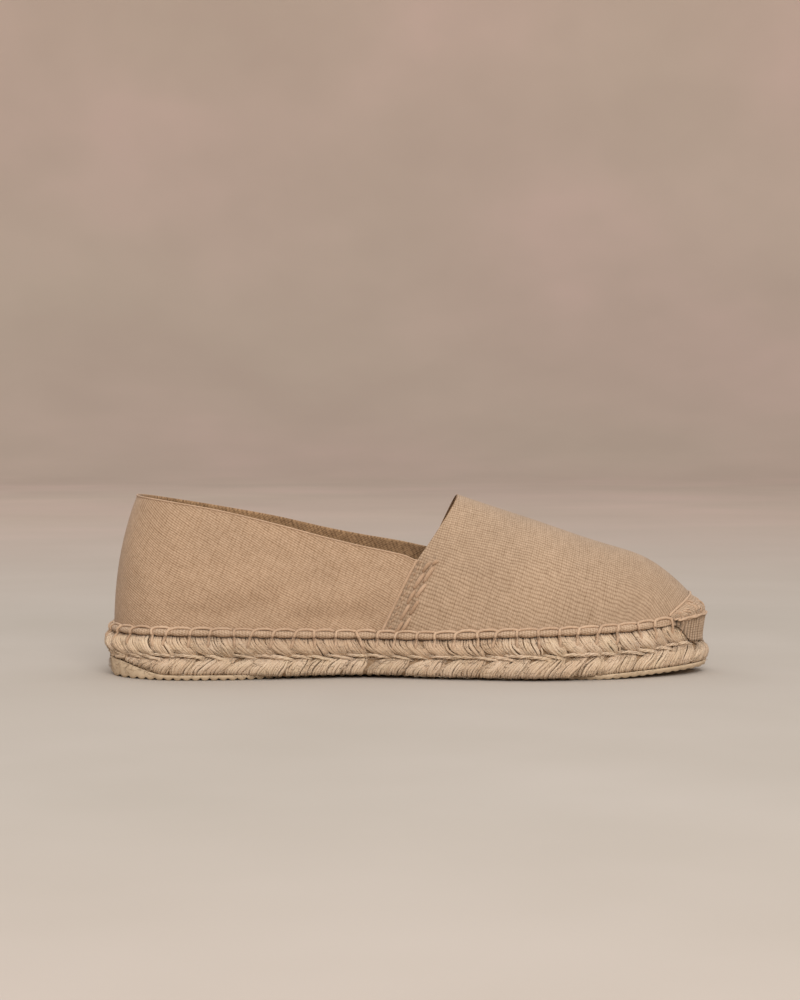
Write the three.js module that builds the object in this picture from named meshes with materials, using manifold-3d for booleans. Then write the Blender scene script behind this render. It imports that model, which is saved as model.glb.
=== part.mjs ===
// A flat canvas espadrille for the left foot, in millimetres, +Z up.
// +X points to the toe and +Y to the wearer's left, the outer side. The origin is on the floor
// under the middle of the shoe. The canvas upper is open at the collar and open underneath, where
// the jute sole closes it. A thin rubber outsole lies below the jute and laps up behind the heel.
import * as THREE from "three";
import { mergeVertices } from "three/addons/utils/BufferGeometryUtils.js";
import Module from "manifold-3d";

// ---- Driving dimensions ----

const LENGTH = 270;
const BALL_WIDTH = 96;
const HEEL_WIDTH = 70;
const WAIST_WIDTH = 66;
const TOE_WIDTH = 84;

const GAP = 0.3; // between neighbouring pieces
const TOE_SPRING = 3.2; // lift of the sole's underside at the toe
const TOE_SPRING_START = 82;
const TOE_SPRING_POWER = 1.1;
const ARCH_LIFT = 0.5; // lift of the sole's underside at the waist
const ARCH = { heelEnd: -70, heelFull: -35, ballFull: -15, ballEnd: 15 };

const RUBBER_THICK = 2.2;
const RUBBER_RIM = 0.15; // least height of the rubber's rim above its floor
const RUBBER_RIM_WIDTH = 1.2;
const RUBBER_CHAMFER = 1.1; // along the lower edge
const RUBBER_CHAMFER_HIGH = 0.9;
const HEEL_LIP = 5.8; // how much higher the rim stands behind the heel
const HEEL_LIP_ENDS = { back: -134, front: -106 };
const RUBBER_TUCK = 6; // how far the rubber stays back from the jute's edge at the waist
const TUCK_ENDS = { heelEnd: -80, heelFull: -52, ballFull: 62, ballEnd: 92 };
const HEEL_TUCK = 1.6; // how far the rubber and the lower row of jute stay back behind the heel
const HEEL_TUCK_ENDS = { back: -132, front: -100 };
const LOWER_ROW = 0.5; // share of the jute's height below which its lower row lies

const WALL = 1.8; // doubled canvas
const FOOT_INSET = 2.6; // the canvas stands this far in from the edge of the jute
const HEM_HIGH = 3.2; // rolled hem along the foot of the canvas
const HEM_PROUD = 2.3;
const HEM_FADE = 0.95; // share of the roll that is lost under the toe patch
const HEM_FADE_ENDS = { from: 98, to: 110 };
const INSOLE_THICK = 1.4;

const PATCH_CLEAR = 0.45; // toe patch: inner and outer face, outside the canvas
const PATCH_PROUD = 1.7;
const PATCH_START = 116; // x of its side ends, at the foot of the canvas
const PATCH_FOOT = 14.6; // height of its lower edge at the tip
const PATCH_FOOT_DROP = { from: 0.05, to: 0.6 }; // shares of its length where the edge drops
const PATCH_SIDE_DROP = 0.2; // how far its side ends reach below the foot of the canvas
const PATCH_TOP = { least: 0.02, more: 0.09, power: 0.8 }; // shares of the way to the throat
const JUTE_UNDER_PATCH = 3.2; // how far the upper row of jute is drawn in under it
const UNDER_PATCH_ENDS = { from: 104, to: 118 };

const TIP = LENGTH / 2;
const CANVAS_HEEL = -131.7;
const CANVAS_TIP = TIP - FOOT_INSET;
const CANVAS_MIDDLE = (CANVAS_TIP + CANVAS_HEEL) / 2;
const CANVAS_REACH = (CANVAS_TIP - CANVAS_HEEL) / 2;
const THROAT_TOP_X = 23.6;
const COLLAR_BACK_X = -121.4;

// Each side seam, from the sole up to the corner where it meets topline and throat. The forefoot
// turns inwards, so the outer seam stands further forward.
const SEAM = {
  inner: { footX: -13.7, x: 2.9, z: 51.9 },
  outer: { footX: -3, x: 12.2, z: 53.7 },
};

// ---- Tables: one row a station, x from heel (-) to toe (+) ----

// Plan of the sole before its ends are rounded: offset of the centre line and half the width.
const PLAN = [
  { x: -TIP, centre: -2.5, half: HEEL_WIDTH / 2 },
  { x: -100, centre: -2.5, half: HEEL_WIDTH / 2 },
  { x: -62, centre: -1, half: HEEL_WIDTH / 2 },
  { x: -20, centre: 1, half: WAIST_WIDTH / 2 },
  { x: 20, centre: 1.4, half: BALL_WIDTH * 0.44 },
  { x: 52, centre: 0, half: BALL_WIDTH / 2 },
  { x: 82, centre: -1.8, half: BALL_WIDTH * 0.49 },
  { x: TIP, centre: -5.5, half: TOE_WIDTH / 2 },
];

// Crest of the whole last, the ankle included, before its ends are rounded.
const CREST = [
  { x: -TIP, height: 111 },
  { x: -85, height: 112 },
  { x: -40, height: 104.5 },
  { x: 0, height: 88.5 },
  { x: THROAT_TOP_X, height: 79.4 },
  { x: 57, height: 68.3 },
  { x: 90, height: 57.3 },
  { x: 112, height: 52.6 },
  { x: TIP, height: 43 },
];

// Roundness of the cross-sections: 2 by 2 is an ellipse, more is fuller.
const SECTION = [
  { x: -TIP, across: 2.2, up: 2.4 },
  { x: -60, across: 2.2, up: 2.2 },
  { x: 0, across: 2, up: 1.9 },
  { x: TIP, across: 2, up: 2 },
];

// Topline of the quarter on each side, from the back of the heel to the side seams.
const TOPLINE = [
  { x: COLLAR_BACK_X, inner: 79.9, outer: 79.9 },
  { x: -107, inner: 78, outer: 77.2 },
  { x: -85, inner: 74.2, outer: 73.4 },
  { x: -60, inner: 68.2, outer: 68.8 },
  { x: -37, inner: 61.9, outer: 63.6 },
  { x: -22, inner: 58.2, outer: 60.6 },
  { x: -3, inner: 54.1, outer: 57.2 },
  { x: SEAM.inner.x, inner: SEAM.inner.z, outer: 55.9 },
  { x: SEAM.outer.x, inner: SEAM.inner.z, outer: SEAM.outer.z },
];

// Top of the jute at its edge.
const JUTE_TOP = [
  { x: -TIP, height: 19.2 },
  { x: -90, height: 18.8 },
  { x: -48, height: 17.6 },
  { x: -8, height: 16.8 },
  { x: 16, height: 17.1 },
  { x: 44, height: 18.6 },
  { x: 80, height: 19.7 },
  { x: 106, height: 21.2 },
  { x: TIP, height: 24 },
];

// Edge of the jute: level as a share of its height, and how far in from the widest outline.
const JUTE_EDGE = [
  { level: 0, inset: 1.8 },
  { level: 0.06, inset: 0.6 },
  { level: 0.2, inset: 0 },
  { level: 0.38, inset: 0.2 },
  { level: 0.53, inset: 1.4 },
  { level: 0.65, inset: 0.3 },
  { level: 0.82, inset: 0 },
  { level: 0.94, inset: 1 },
  { level: 1, inset: 2.8 },
];

// Rounding of the two ends: where it starts and how square it is.
const PLAN_HEEL = { start: -92, power: 2.2 };
const PLAN_TOE = { start: 36, power: 2 };
const CREST_HEEL = { start: -85, power: 2.1 };
const CREST_TOE = { start: 88, power: 2.2 };

// Axis that the rays to the form start from: past each x it advances only by a share.
const AXIS = { toeX: 70, toeShare: 0.45, heelX: -90, heelShare: 0.4 };

// ---- Mesh density ----

const SOLE_STEPS = 92; // points round a sole outline
const VAMP_STEPS = 26; // columns from toe to side seam, each side
const QUARTER_STEPS = 20; // columns from side seam to heel back, each side
const OUTER_ROWS = 13;
const INNER_ROWS = 9;
const HEM_ROWS = 4;
const PATCH_STEPS = 12; // columns of the toe patch, each side
const PATCH_ROWS = 6;
const PATCH_SKIRT_ROWS = 2;
const CURVE_SAMPLES = 300;
const BISECTIONS = 40;
const RAY_REACH = 6; // times the distance to the point a ray is sent through
const TANGENT_STEP = 0.01; // radians, for the direction of the sole's outline
const CUT_THROUGH = 3; // how far a cutter passes beyond what it cuts

// ---- Curves ----

// Smooth curve through one column of a table.
function through(rows, column) {
  const slope = (i) => {
    const before = rows[Math.max(i - 1, 0)];
    const after = rows[Math.min(i + 1, rows.length - 1)];
    return (after[column] - before[column]) / (after.x - before.x);
  };
  return (x) => {
    let i = 0;
    while (i < rows.length - 2 && x > rows[i + 1].x) i += 1;
    const a = rows[i];
    const b = rows[i + 1];
    const span = b.x - a.x;
    const t = THREE.MathUtils.clamp((x - a.x) / span, 0, 1);
    const s = 1 - t;
    const rise = s * s * (1 + 2 * t) * a[column] + t * t * (3 - 2 * t) * b[column];
    return rise + span * t * s * (s * slope(i) - t * slope(i + 1));
  };
}

// Share of the full size left at x where an end closes as a quarter of a superellipse.
function closing(x, end, tip) {
  const reach = (x - end.start) / (tip - end.start);
  if (reach <= 0) return 1;
  if (reach >= 1) return 0;
  return (1 - reach ** end.power) ** (1 / end.power);
}

const ramp = (x, from, to) => THREE.MathUtils.smoothstep(x, from, to);

const planCentre = through(PLAN, "centre");
const planHalf = through(PLAN, "half");
const crest = through(CREST, "height");
const fullAcross = through(SECTION, "across");
const fullUp = through(SECTION, "up");
const topline = { inner: through(TOPLINE, "inner"), outer: through(TOPLINE, "outer") };
const juteTop = through(JUTE_TOP, "height");
const canvasFoot = (x) => juteTop(x) + GAP;

// Height of the sole's underside: flat at heel and forefoot, lifted at waist and toe.
function underside(x) {
  const reach = Math.max(x - TOE_SPRING_START, 0) / (TIP - TOE_SPRING_START);
  const rise = ramp(x, ARCH.heelEnd, ARCH.heelFull);
  const fall = 1 - ramp(x, ARCH.ballFull, ARCH.ballEnd);
  return TOE_SPRING * reach ** TOE_SPRING_POWER + ARCH_LIFT * rise * fall;
}

// How far the rubber and the lower row of jute stay back behind the heel.
const heelTuck = (x) => HEEL_TUCK * (1 - ramp(x, HEEL_TUCK_ENDS.back, HEEL_TUCK_ENDS.front));

// ---- Sole outlines ----

// A point of the sole's plan at an angle: 0 is the toe, a quarter turn is the outer side.
function planPoint(angle) {
  const x = TIP * Math.cos(angle);
  const heel = closing(x, PLAN_HEEL, -TIP);
  const toe = closing(x, PLAN_TOE, TIP);
  const y = planCentre(x) + Math.sign(Math.sin(angle)) * planHalf(x) * heel * toe;
  return new THREE.Vector2(x, y);
}

// One closed loop of the sole's plan, moved inwards. inset and height are functions of x.
function soleRing(inset, height) {
  const ring = [];
  for (let i = 0; i < SOLE_STEPS; i += 1) {
    const angle = (i / SOLE_STEPS) * 2 * Math.PI;
    const here = planPoint(angle);
    const behind = planPoint(angle - TANGENT_STEP);
    const along = planPoint(angle + TANGENT_STEP).sub(behind).normalize();
    const tuck = inset(here.x);
    const x = here.x - along.y * tuck;
    ring.push(new THREE.Vector3(x, here.y + along.x * tuck, height(x)));
  }
  return ring;
}

// ---- Solids from rings ----

function geometryOf(points, faces) {
  let volume = 0;
  for (const [a, b, c] of faces) {
    volume += points[a].dot(new THREE.Vector3().crossVectors(points[b], points[c]));
  }
  const index = faces.flatMap(([a, b, c]) => (volume < 0 ? [a, c, b] : [a, b, c]));
  return new THREE.BufferGeometry().setFromPoints(points).setIndex(index);
}

// A closed body through loops of equal length. With caps the first and last loop are closed by a
// ladder of strips; without, the last loop joins the first.
function loft(rings, capped) {
  const size = rings[0].length;
  const points = rings.flat();
  const faces = [];
  const bands = capped ? rings.length - 1 : rings.length;
  for (let r = 0; r < bands; r += 1) {
    const low = r * size;
    const high = ((r + 1) % rings.length) * size;
    for (let i = 0; i < size; i += 1) {
      const j = (i + 1) % size;
      faces.push([low + i, low + j, high + j], [low + i, high + j, high + i]);
    }
  }
  if (capped) {
    const top = (rings.length - 1) * size;
    for (let a = 0, b = size - 1; b - a > 1; a += 1, b -= 1) {
      faces.push([a + 1, a, b], [top + a, top + a + 1, top + b]);
      if (b - a > 2) faces.push([a + 1, b, b - 1], [top + a + 1, top + b - 1, top + b]);
    }
  }
  return geometryOf(points, faces);
}

const wasm = await Module();
wasm.setup();

function solid(geometry) {
  const merged = mergeVertices(geometry.clone(), 1e-3);
  const vertProperties = merged.attributes.position.array;
  const triVerts = new Uint32Array(merged.index.array);
  return new wasm.Manifold(new wasm.Mesh({ numProp: 3, vertProperties, triVerts }));
}

function cut(geometry, cutter) {
  const mesh = solid(geometry).subtract(solid(cutter)).getMesh();
  return new THREE.BufferGeometry()
    .setAttribute("position", new THREE.BufferAttribute(mesh.vertProperties, 3))
    .setIndex(new THREE.BufferAttribute(mesh.triVerts, 1));
}

// ---- Rubber outsole ----

const rubberInset = (x) => {
  const rise = ramp(x, TUCK_ENDS.heelEnd, TUCK_ENDS.heelFull);
  const fall = 1 - ramp(x, TUCK_ENDS.ballFull, TUCK_ENDS.ballEnd);
  return RUBBER_TUCK * rise * fall + heelTuck(x);
};

const rubberRim = (x) => {
  const lip = HEEL_LIP * (1 - ramp(x, HEEL_LIP_ENDS.back, HEEL_LIP_ENDS.front));
  return RUBBER_THICK + RUBBER_RIM + lip;
};

// The outsole, or the cutter that clears room for it in the jute.
function rubberBlock(grow) {
  const depth = grow > 0 ? CUT_THROUGH : 0;
  const inset = (x) => rubberInset(x) - grow;
  return loft(
    [
      soleRing((x) => inset(x) + RUBBER_CHAMFER, (x) => underside(x) - depth),
      soleRing(inset, (x) => underside(x) + RUBBER_CHAMFER_HIGH - grow),
      soleRing(inset, (x) => underside(x) + rubberRim(x) + grow),
    ],
    true,
  );
}

// The hollow inside the rim. The jute fills it, so that cutter is shrunk by the clearance.
function rimHollow(shrink) {
  const inset = (x) => rubberInset(x) + RUBBER_RIM_WIDTH + shrink;
  return loft(
    [
      soleRing(inset, (x) => underside(x) + RUBBER_THICK + shrink),
      soleRing(inset, (x) => underside(x) + rubberRim(x) + CUT_THROUGH),
    ],
    true,
  );
}

function rubberOutsole() {
  return cut(rubberBlock(0), rimHollow(0));
}

// ---- Jute sole ----

// How far a level of the jute's edge stays back from the widest outline at x.
function juteInset(level, inset, x) {
  if (level < LOWER_ROW) return inset + heelTuck(x);
  const drawn = JUTE_UNDER_PATCH * ramp(x, UNDER_PATCH_ENDS.from, UNDER_PATCH_ENDS.to);
  return Math.max(inset, drawn);
}

function juteSole() {
  const underJute = (x) => underside(x) + GAP;
  const rings = JUTE_EDGE.map(({ level, inset }) => {
    return soleRing(
      (x) => juteInset(level, inset, x),
      (x) => THREE.MathUtils.lerp(underJute(x), juteTop(x), level),
    );
  });
  const clearance = cut(rubberBlock(GAP), rimHollow(GAP));
  return cut(loft(rings, true), clearance);
}

// ---- The last: one form that upper, lining, insole and toe patch share ----

// The form's cross-section at x, grown outwards by a distance.
function sectionAt(x, grow) {
  const heel = CANVAS_HEEL - grow;
  const tip = CANVAS_TIP + grow;
  const plan = closing(x, PLAN_HEEL, heel) * closing(x, PLAN_TOE, tip);
  const rise = closing(x, CREST_HEEL, heel) * closing(x, CREST_TOE, tip);
  return {
    centre: planCentre(x),
    half: (planHalf(x) - FOOT_INSET + grow) * plan,
    foot: canvasFoot(x),
    height: (crest(x) - canvasFoot(x) + grow) * rise,
  };
}

// Half the width of the form at x and a height above the floor.
function halfAt(x, z, grow) {
  const { half, foot, height } = sectionAt(x, grow);
  if (half <= 0 || height <= 0) return 0;
  const level = Math.max(z - foot, 0) / height;
  if (level >= 1) return 0;
  return half * (1 - level ** fullUp(x)) ** (1 / fullAcross(x));
}

// Rays start on an axis along the bottom of the form that stops short of both ends.
function axisUnder(x) {
  const beyondToe = Math.max(x - AXIS.toeX, 0);
  const beyondHeel = Math.min(x - AXIS.heelX, 0);
  const within = THREE.MathUtils.clamp(x, AXIS.heelX, AXIS.toeX);
  const at = within + beyondToe * AXIS.toeShare + beyondHeel * AXIS.heelShare;
  return new THREE.Vector3(at, planCentre(at), canvasFoot(at));
}

// The point of the grown form on the ray from the axis through a given point.
function onForm(towards, grow) {
  const start = axisUnder(towards.x);
  const ray = towards.clone().sub(start);
  let near = 0;
  let far = RAY_REACH;
  for (let step = 0; step < BISECTIONS; step += 1) {
    const middle = (near + far) / 2;
    const p = start.clone().addScaledVector(ray, middle);
    const inside = Math.abs(p.y - planCentre(p.x)) < halfAt(p.x, p.z, grow);
    if (inside) near = middle;
    else far = middle;
  }
  return start.addScaledVector(ray, near);
}

// Even steps by length along a curve given as a function of 0 to 1.
function evenly(pointAt, steps) {
  const dense = Array.from({ length: CURVE_SAMPLES + 1 }, (_, i) => pointAt(i / CURVE_SAMPLES));
  return new THREE.CatmullRomCurve3(dense).getSpacedPoints(steps);
}

// Plan angle of a point on the foot of the canvas.
const footAngle = (x) => Math.acos((x - CANVAS_MIDDLE) / CANVAS_REACH);

// Foot of the canvas on one side (+1 outer, -1 inner), between two angles.
function footCurve(side, from, to) {
  return (share) => {
    const x = CANVAS_MIDDLE + CANVAS_REACH * Math.cos(THREE.MathUtils.lerp(from, to, share));
    const foot = canvasFoot(x);
    return new THREE.Vector3(x, planCentre(x) + side * halfAt(x, foot, 0), foot);
  };
}

const edgePoint = (side, x, z) => new THREE.Vector3(x, planCentre(x) + side * halfAt(x, z, 0), z);

const sideName = (side) => (side > 0 ? "outer" : "inner");

// Throat from its top on the centre line down to the corner.
function throatCurve(side) {
  const top = crest(THROAT_TOP_X);
  const corner = SEAM[sideName(side)];
  return (share) => {
    const drop = 1 - Math.cos((share * Math.PI) / 2);
    const x = THREE.MathUtils.lerp(THROAT_TOP_X, corner.x, drop);
    return edgePoint(side, x, THREE.MathUtils.lerp(top, corner.z, drop));
  };
}

// Topline from the corner back to the heel.
function toplineCurve(side) {
  const corner = SEAM[sideName(side)];
  return (share) => {
    const x = THREE.MathUtils.lerp(corner.x, COLLAR_BACK_X, Math.sin((share * Math.PI) / 2));
    return edgePoint(side, x, topline[sideName(side)](x));
  };
}

// Columns of one side from toe to heel back: each runs from a foot point to a collar point.
function sideColumns(side) {
  const seam = footAngle(SEAM[sideName(side)].footX);
  const feet = [
    ...evenly(footCurve(side, 0, seam), VAMP_STEPS),
    ...evenly(footCurve(side, seam, Math.PI), QUARTER_STEPS).slice(1),
  ];
  const edges = [
    ...evenly(throatCurve(side), VAMP_STEPS),
    ...evenly(toplineCurve(side), QUARTER_STEPS).slice(1),
  ];
  return feet.map((foot, i) => ({ foot, edge: edges[i] }));
}

// All columns once round the shoe, from the toe by the outer side.
function allColumns() {
  const outer = sideColumns(1);
  const inner = sideColumns(-1).slice(1, -1).reverse();
  return [...outer, ...inner];
}

// The point at a share of the way up a column, on the grown form.
function canvasPoint(column, share, grow) {
  const low = column.foot.clone().setZ(column.foot.z + HEM_HIGH);
  return onForm(low.lerp(column.edge, share), grow);
}

// ---- Upper ----

// Outward direction in plan at each foot point.
function outwards(columns) {
  return columns.map((_, i) => {
    const before = columns[(i + columns.length - 1) % columns.length].foot;
    const after = columns[(i + 1) % columns.length].foot;
    const along = after.clone().sub(before).setZ(0).normalize();
    return new THREE.Vector3(along.y, -along.x, 0);
  });
}

function upper() {
  const columns = allColumns();
  const out = outwards(columns);
  const rings = [];
  for (let r = 0; r < HEM_ROWS; r += 1) {
    const turn = Math.PI * (r / HEM_ROWS - 0.5);
    rings.push(
      columns.map(({ foot }, i) => {
        const fade = HEM_FADE * ramp(foot.x, HEM_FADE_ENDS.from, HEM_FADE_ENDS.to);
        const height = foot.z + (HEM_HIGH / 2) * (1 + Math.sin(turn));
        const skin = onForm(foot.clone().setZ(height), 0);
        return skin.addScaledVector(out[i], HEM_PROUD * (1 - fade) * Math.cos(turn)).setZ(height);
      }),
    );
  }
  for (let r = 0; r <= OUTER_ROWS; r += 1) {
    rings.push(columns.map((column) => canvasPoint(column, r / OUTER_ROWS, 0)));
  }
  for (let r = INNER_ROWS; r >= 0; r -= 1) {
    rings.push(columns.map((column) => canvasPoint(column, r / INNER_ROWS, -WALL)));
  }
  rings.push(columns.map(({ foot }) => onForm(foot, -WALL).setZ(foot.z)));
  return loft(rings, false);
}

// ---- Insole ----

function insole() {
  const clear = WALL + 2 * GAP;
  const outline = allColumns().map(({ foot }) => onForm(foot, -clear));
  const bottom = outline.map((p) => p.clone().setZ(canvasFoot(p.x)));
  const top = outline.map((p) => p.clone().setZ(canvasFoot(p.x) + INSOLE_THICK));
  return loft([bottom, top], true);
}

// ---- Toe patch ----

function toePatch() {
  const end = footAngle(PATCH_START);
  const half = (side) => {
    const feet = evenly(footCurve(side, 0, end), PATCH_STEPS);
    const edges = evenly(throatCurve(side), VAMP_STEPS);
    return feet.map((foot, i) => ({ foot, edge: edges[i] }));
  };
  const columns = [...half(1).reverse(), ...half(-1).slice(1)];
  const loops = columns.map((column) => {
    const reach = Math.max(column.foot.x - PATCH_START, 0) / (CANVAS_TIP - PATCH_START);
    const drop = ramp(reach, PATCH_FOOT_DROP.from, PATCH_FOOT_DROP.to);
    const lowest = THREE.MathUtils.lerp(column.foot.z - PATCH_SIDE_DROP, PATCH_FOOT, drop);
    const highest = PATCH_TOP.least + PATCH_TOP.more * reach ** PATCH_TOP.power;
    const face = (grow) => {
      const rows = [];
      for (let r = 0; r < PATCH_SKIRT_ROWS; r += 1) {
        const height = THREE.MathUtils.lerp(lowest, column.foot.z, r / PATCH_SKIRT_ROWS);
        rows.push(onForm(column.foot, grow).setZ(height));
      }
      for (let r = 0; r < HEM_ROWS; r += 1) {
        const height = column.foot.z + HEM_HIGH * (r / HEM_ROWS);
        rows.push(onForm(column.foot.clone().setZ(height), grow));
      }
      for (let r = 0; r <= PATCH_ROWS; r += 1) {
        rows.push(canvasPoint(column, (highest * r) / PATCH_ROWS, grow));
      }
      return rows;
    };
    return [...face(PATCH_PROUD), ...face(PATCH_CLEAR).reverse()];
  });
  return loft(loops, true);
}

// ---- Assembly ----

function piece(name, geometry, color, roughness) {
  const material = new THREE.MeshStandardMaterial({ color, roughness, metalness: 0 });
  const mesh = new THREE.Mesh(geometry, material);
  mesh.name = name;
  return mesh;
}

const espadrille = new THREE.Group();
espadrille.name = "espadrille";
espadrille.add(piece("rubber_outsole", rubberOutsole(), 0xbca284, 0.75));
espadrille.add(piece("jute_sole", juteSole(), 0xb8997a, 0.95));
espadrille.add(piece("insole", insole(), 0xb3977a, 0.95));
espadrille.add(piece("upper", upper(), 0xb99778, 0.9));
espadrille.add(piece("toe_patch", toePatch(), 0xb89676, 0.9));

export default espadrille;
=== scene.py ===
"""A natural canvas espadrille on a plaited jute sole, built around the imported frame.

Sizes are in millimetres in the classes below and turn into metres where a mesh is written.
+X points to the toe, +Y to the outer side, and the floor is z = 0.
"""

import logging
import math
import random
from collections.abc import Callable, Mapping, Sequence
from dataclasses import dataclass, field
from enum import Enum

import bmesh
import bpy
import numpy as np
from mathutils import Euler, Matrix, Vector


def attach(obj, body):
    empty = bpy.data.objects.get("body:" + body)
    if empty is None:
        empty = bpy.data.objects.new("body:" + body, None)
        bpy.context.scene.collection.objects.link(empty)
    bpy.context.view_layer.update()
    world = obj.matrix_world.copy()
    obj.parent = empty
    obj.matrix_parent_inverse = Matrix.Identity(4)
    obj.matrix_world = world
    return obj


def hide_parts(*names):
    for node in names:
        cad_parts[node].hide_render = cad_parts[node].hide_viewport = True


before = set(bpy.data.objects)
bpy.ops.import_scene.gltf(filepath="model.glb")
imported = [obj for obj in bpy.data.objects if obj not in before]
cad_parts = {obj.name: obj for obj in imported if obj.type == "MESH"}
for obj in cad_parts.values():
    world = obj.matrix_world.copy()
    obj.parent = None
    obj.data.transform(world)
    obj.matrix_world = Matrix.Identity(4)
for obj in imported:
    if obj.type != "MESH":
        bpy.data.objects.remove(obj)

Array = np.ndarray
Mesh = bmesh.types.BMesh
Piece = bpy.types.Object
Material = bpy.types.Material
Tree = bpy.types.NodeTree
Socket = bpy.types.NodeSocket
LOG = logging.getLogger("espadrille")
MM = 0.001
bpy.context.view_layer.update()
CURVE_SAMPLES = 1201  # points on a curve before it is cut into even steps
WELD = 1e-4  # vertices closer than this are one
TINY = 1e-6  # keeps a division away from zero
NARROWEST = 0.02  # share of its width to which a face closes at its middle line before it is filled


# ---- Small tools ----


def linear(code: str) -> tuple[float, float, float, float]:
    """Turns an sRGB hex colour into linear RGBA.

    Args:
        code: Six hex digits.

    Returns:
        Linear red, green, blue and an alpha of one.
    """
    parts = [int(code[i : i + 2], 16) / 255 for i in (0, 2, 4)]
    bent = [p / 12.92 if p <= 0.04045 else ((p + 0.055) / 1.055) ** 2.4 for p in parts]
    return (bent[0], bent[1], bent[2], 1.0)


def ramp(x: Array | float, start: float, end: float) -> Array:
    """Smooth step from 0 at start to 1 at end."""
    t = np.clip((np.asarray(x, float) - start) / (end - start), 0, 1)
    return t * t * (3 - 2 * t)


def unit(vectors: Array) -> Array:
    """Scales each vector of an array to length one."""
    return vectors / np.maximum(np.linalg.norm(vectors, axis=-1, keepdims=True), 1e-12)


def lengths_along(points: Array) -> Array:
    """Distance run from the first point to each point of a polyline."""
    steps = np.linalg.norm(np.diff(points, axis=0), axis=1)
    return np.concatenate([[0.0], np.cumsum(steps)])


def pick(points: Array, run: Array, wanted: Array) -> Array:
    """Points of a polyline at wanted places of its run."""
    return np.stack([np.interp(wanted, run, points[:, k]) for k in range(3)], axis=-1)


def evenly(points: Array, steps: int) -> Array:
    """Resamples a polyline in even steps of length."""
    run = lengths_along(points)
    return pick(points, run, np.linspace(0, run[-1], steps + 1))


# ---- The last: the form that every soft piece follows ----


@dataclass(frozen=True)
class Rail:
    """A smooth curve through stations of x and value."""

    stations: tuple[tuple[float, float], ...]

    def at(self, x: Array | float) -> Array:
        """Value of the curve at x, held at its end values beyond the ends."""
        xs, ys = np.array(self.stations, float).T
        last = len(xs) - 1
        before = np.maximum(np.arange(last + 1) - 1, 0)
        after = np.minimum(np.arange(last + 1) + 1, last)
        slope = (ys[after] - ys[before]) / (xs[after] - xs[before])
        x = np.asarray(x, float)
        i = np.searchsorted(xs[1:-1], x, side="left")
        span = xs[i + 1] - xs[i]
        t = np.clip((x - xs[i]) / span, 0, 1)
        s = 1 - t
        rise = s * s * (1 + 2 * t) * ys[i] + t * t * (3 - 2 * t) * ys[i + 1]
        return rise + span * t * s * (s * slope[i] - t * slope[i + 1])


@dataclass(frozen=True)
class End:
    """Rounding of one end of a form: where it starts and how square it is."""

    start: float
    power: float

    def closing(self, x: Array, tip: Array | float) -> Array:
        """Share of the full size left at x, from 1 at the start to 0 at the tip."""
        reach = np.clip((x - self.start) / (tip - self.start), 0, 1)
        return (1 - reach**self.power) ** (1 / self.power)


@dataclass(frozen=True)
class Seam:
    """A side seam: its foot at the sole and the corner where topline and throat meet."""

    foot_x: float
    x: float
    z: float


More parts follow.
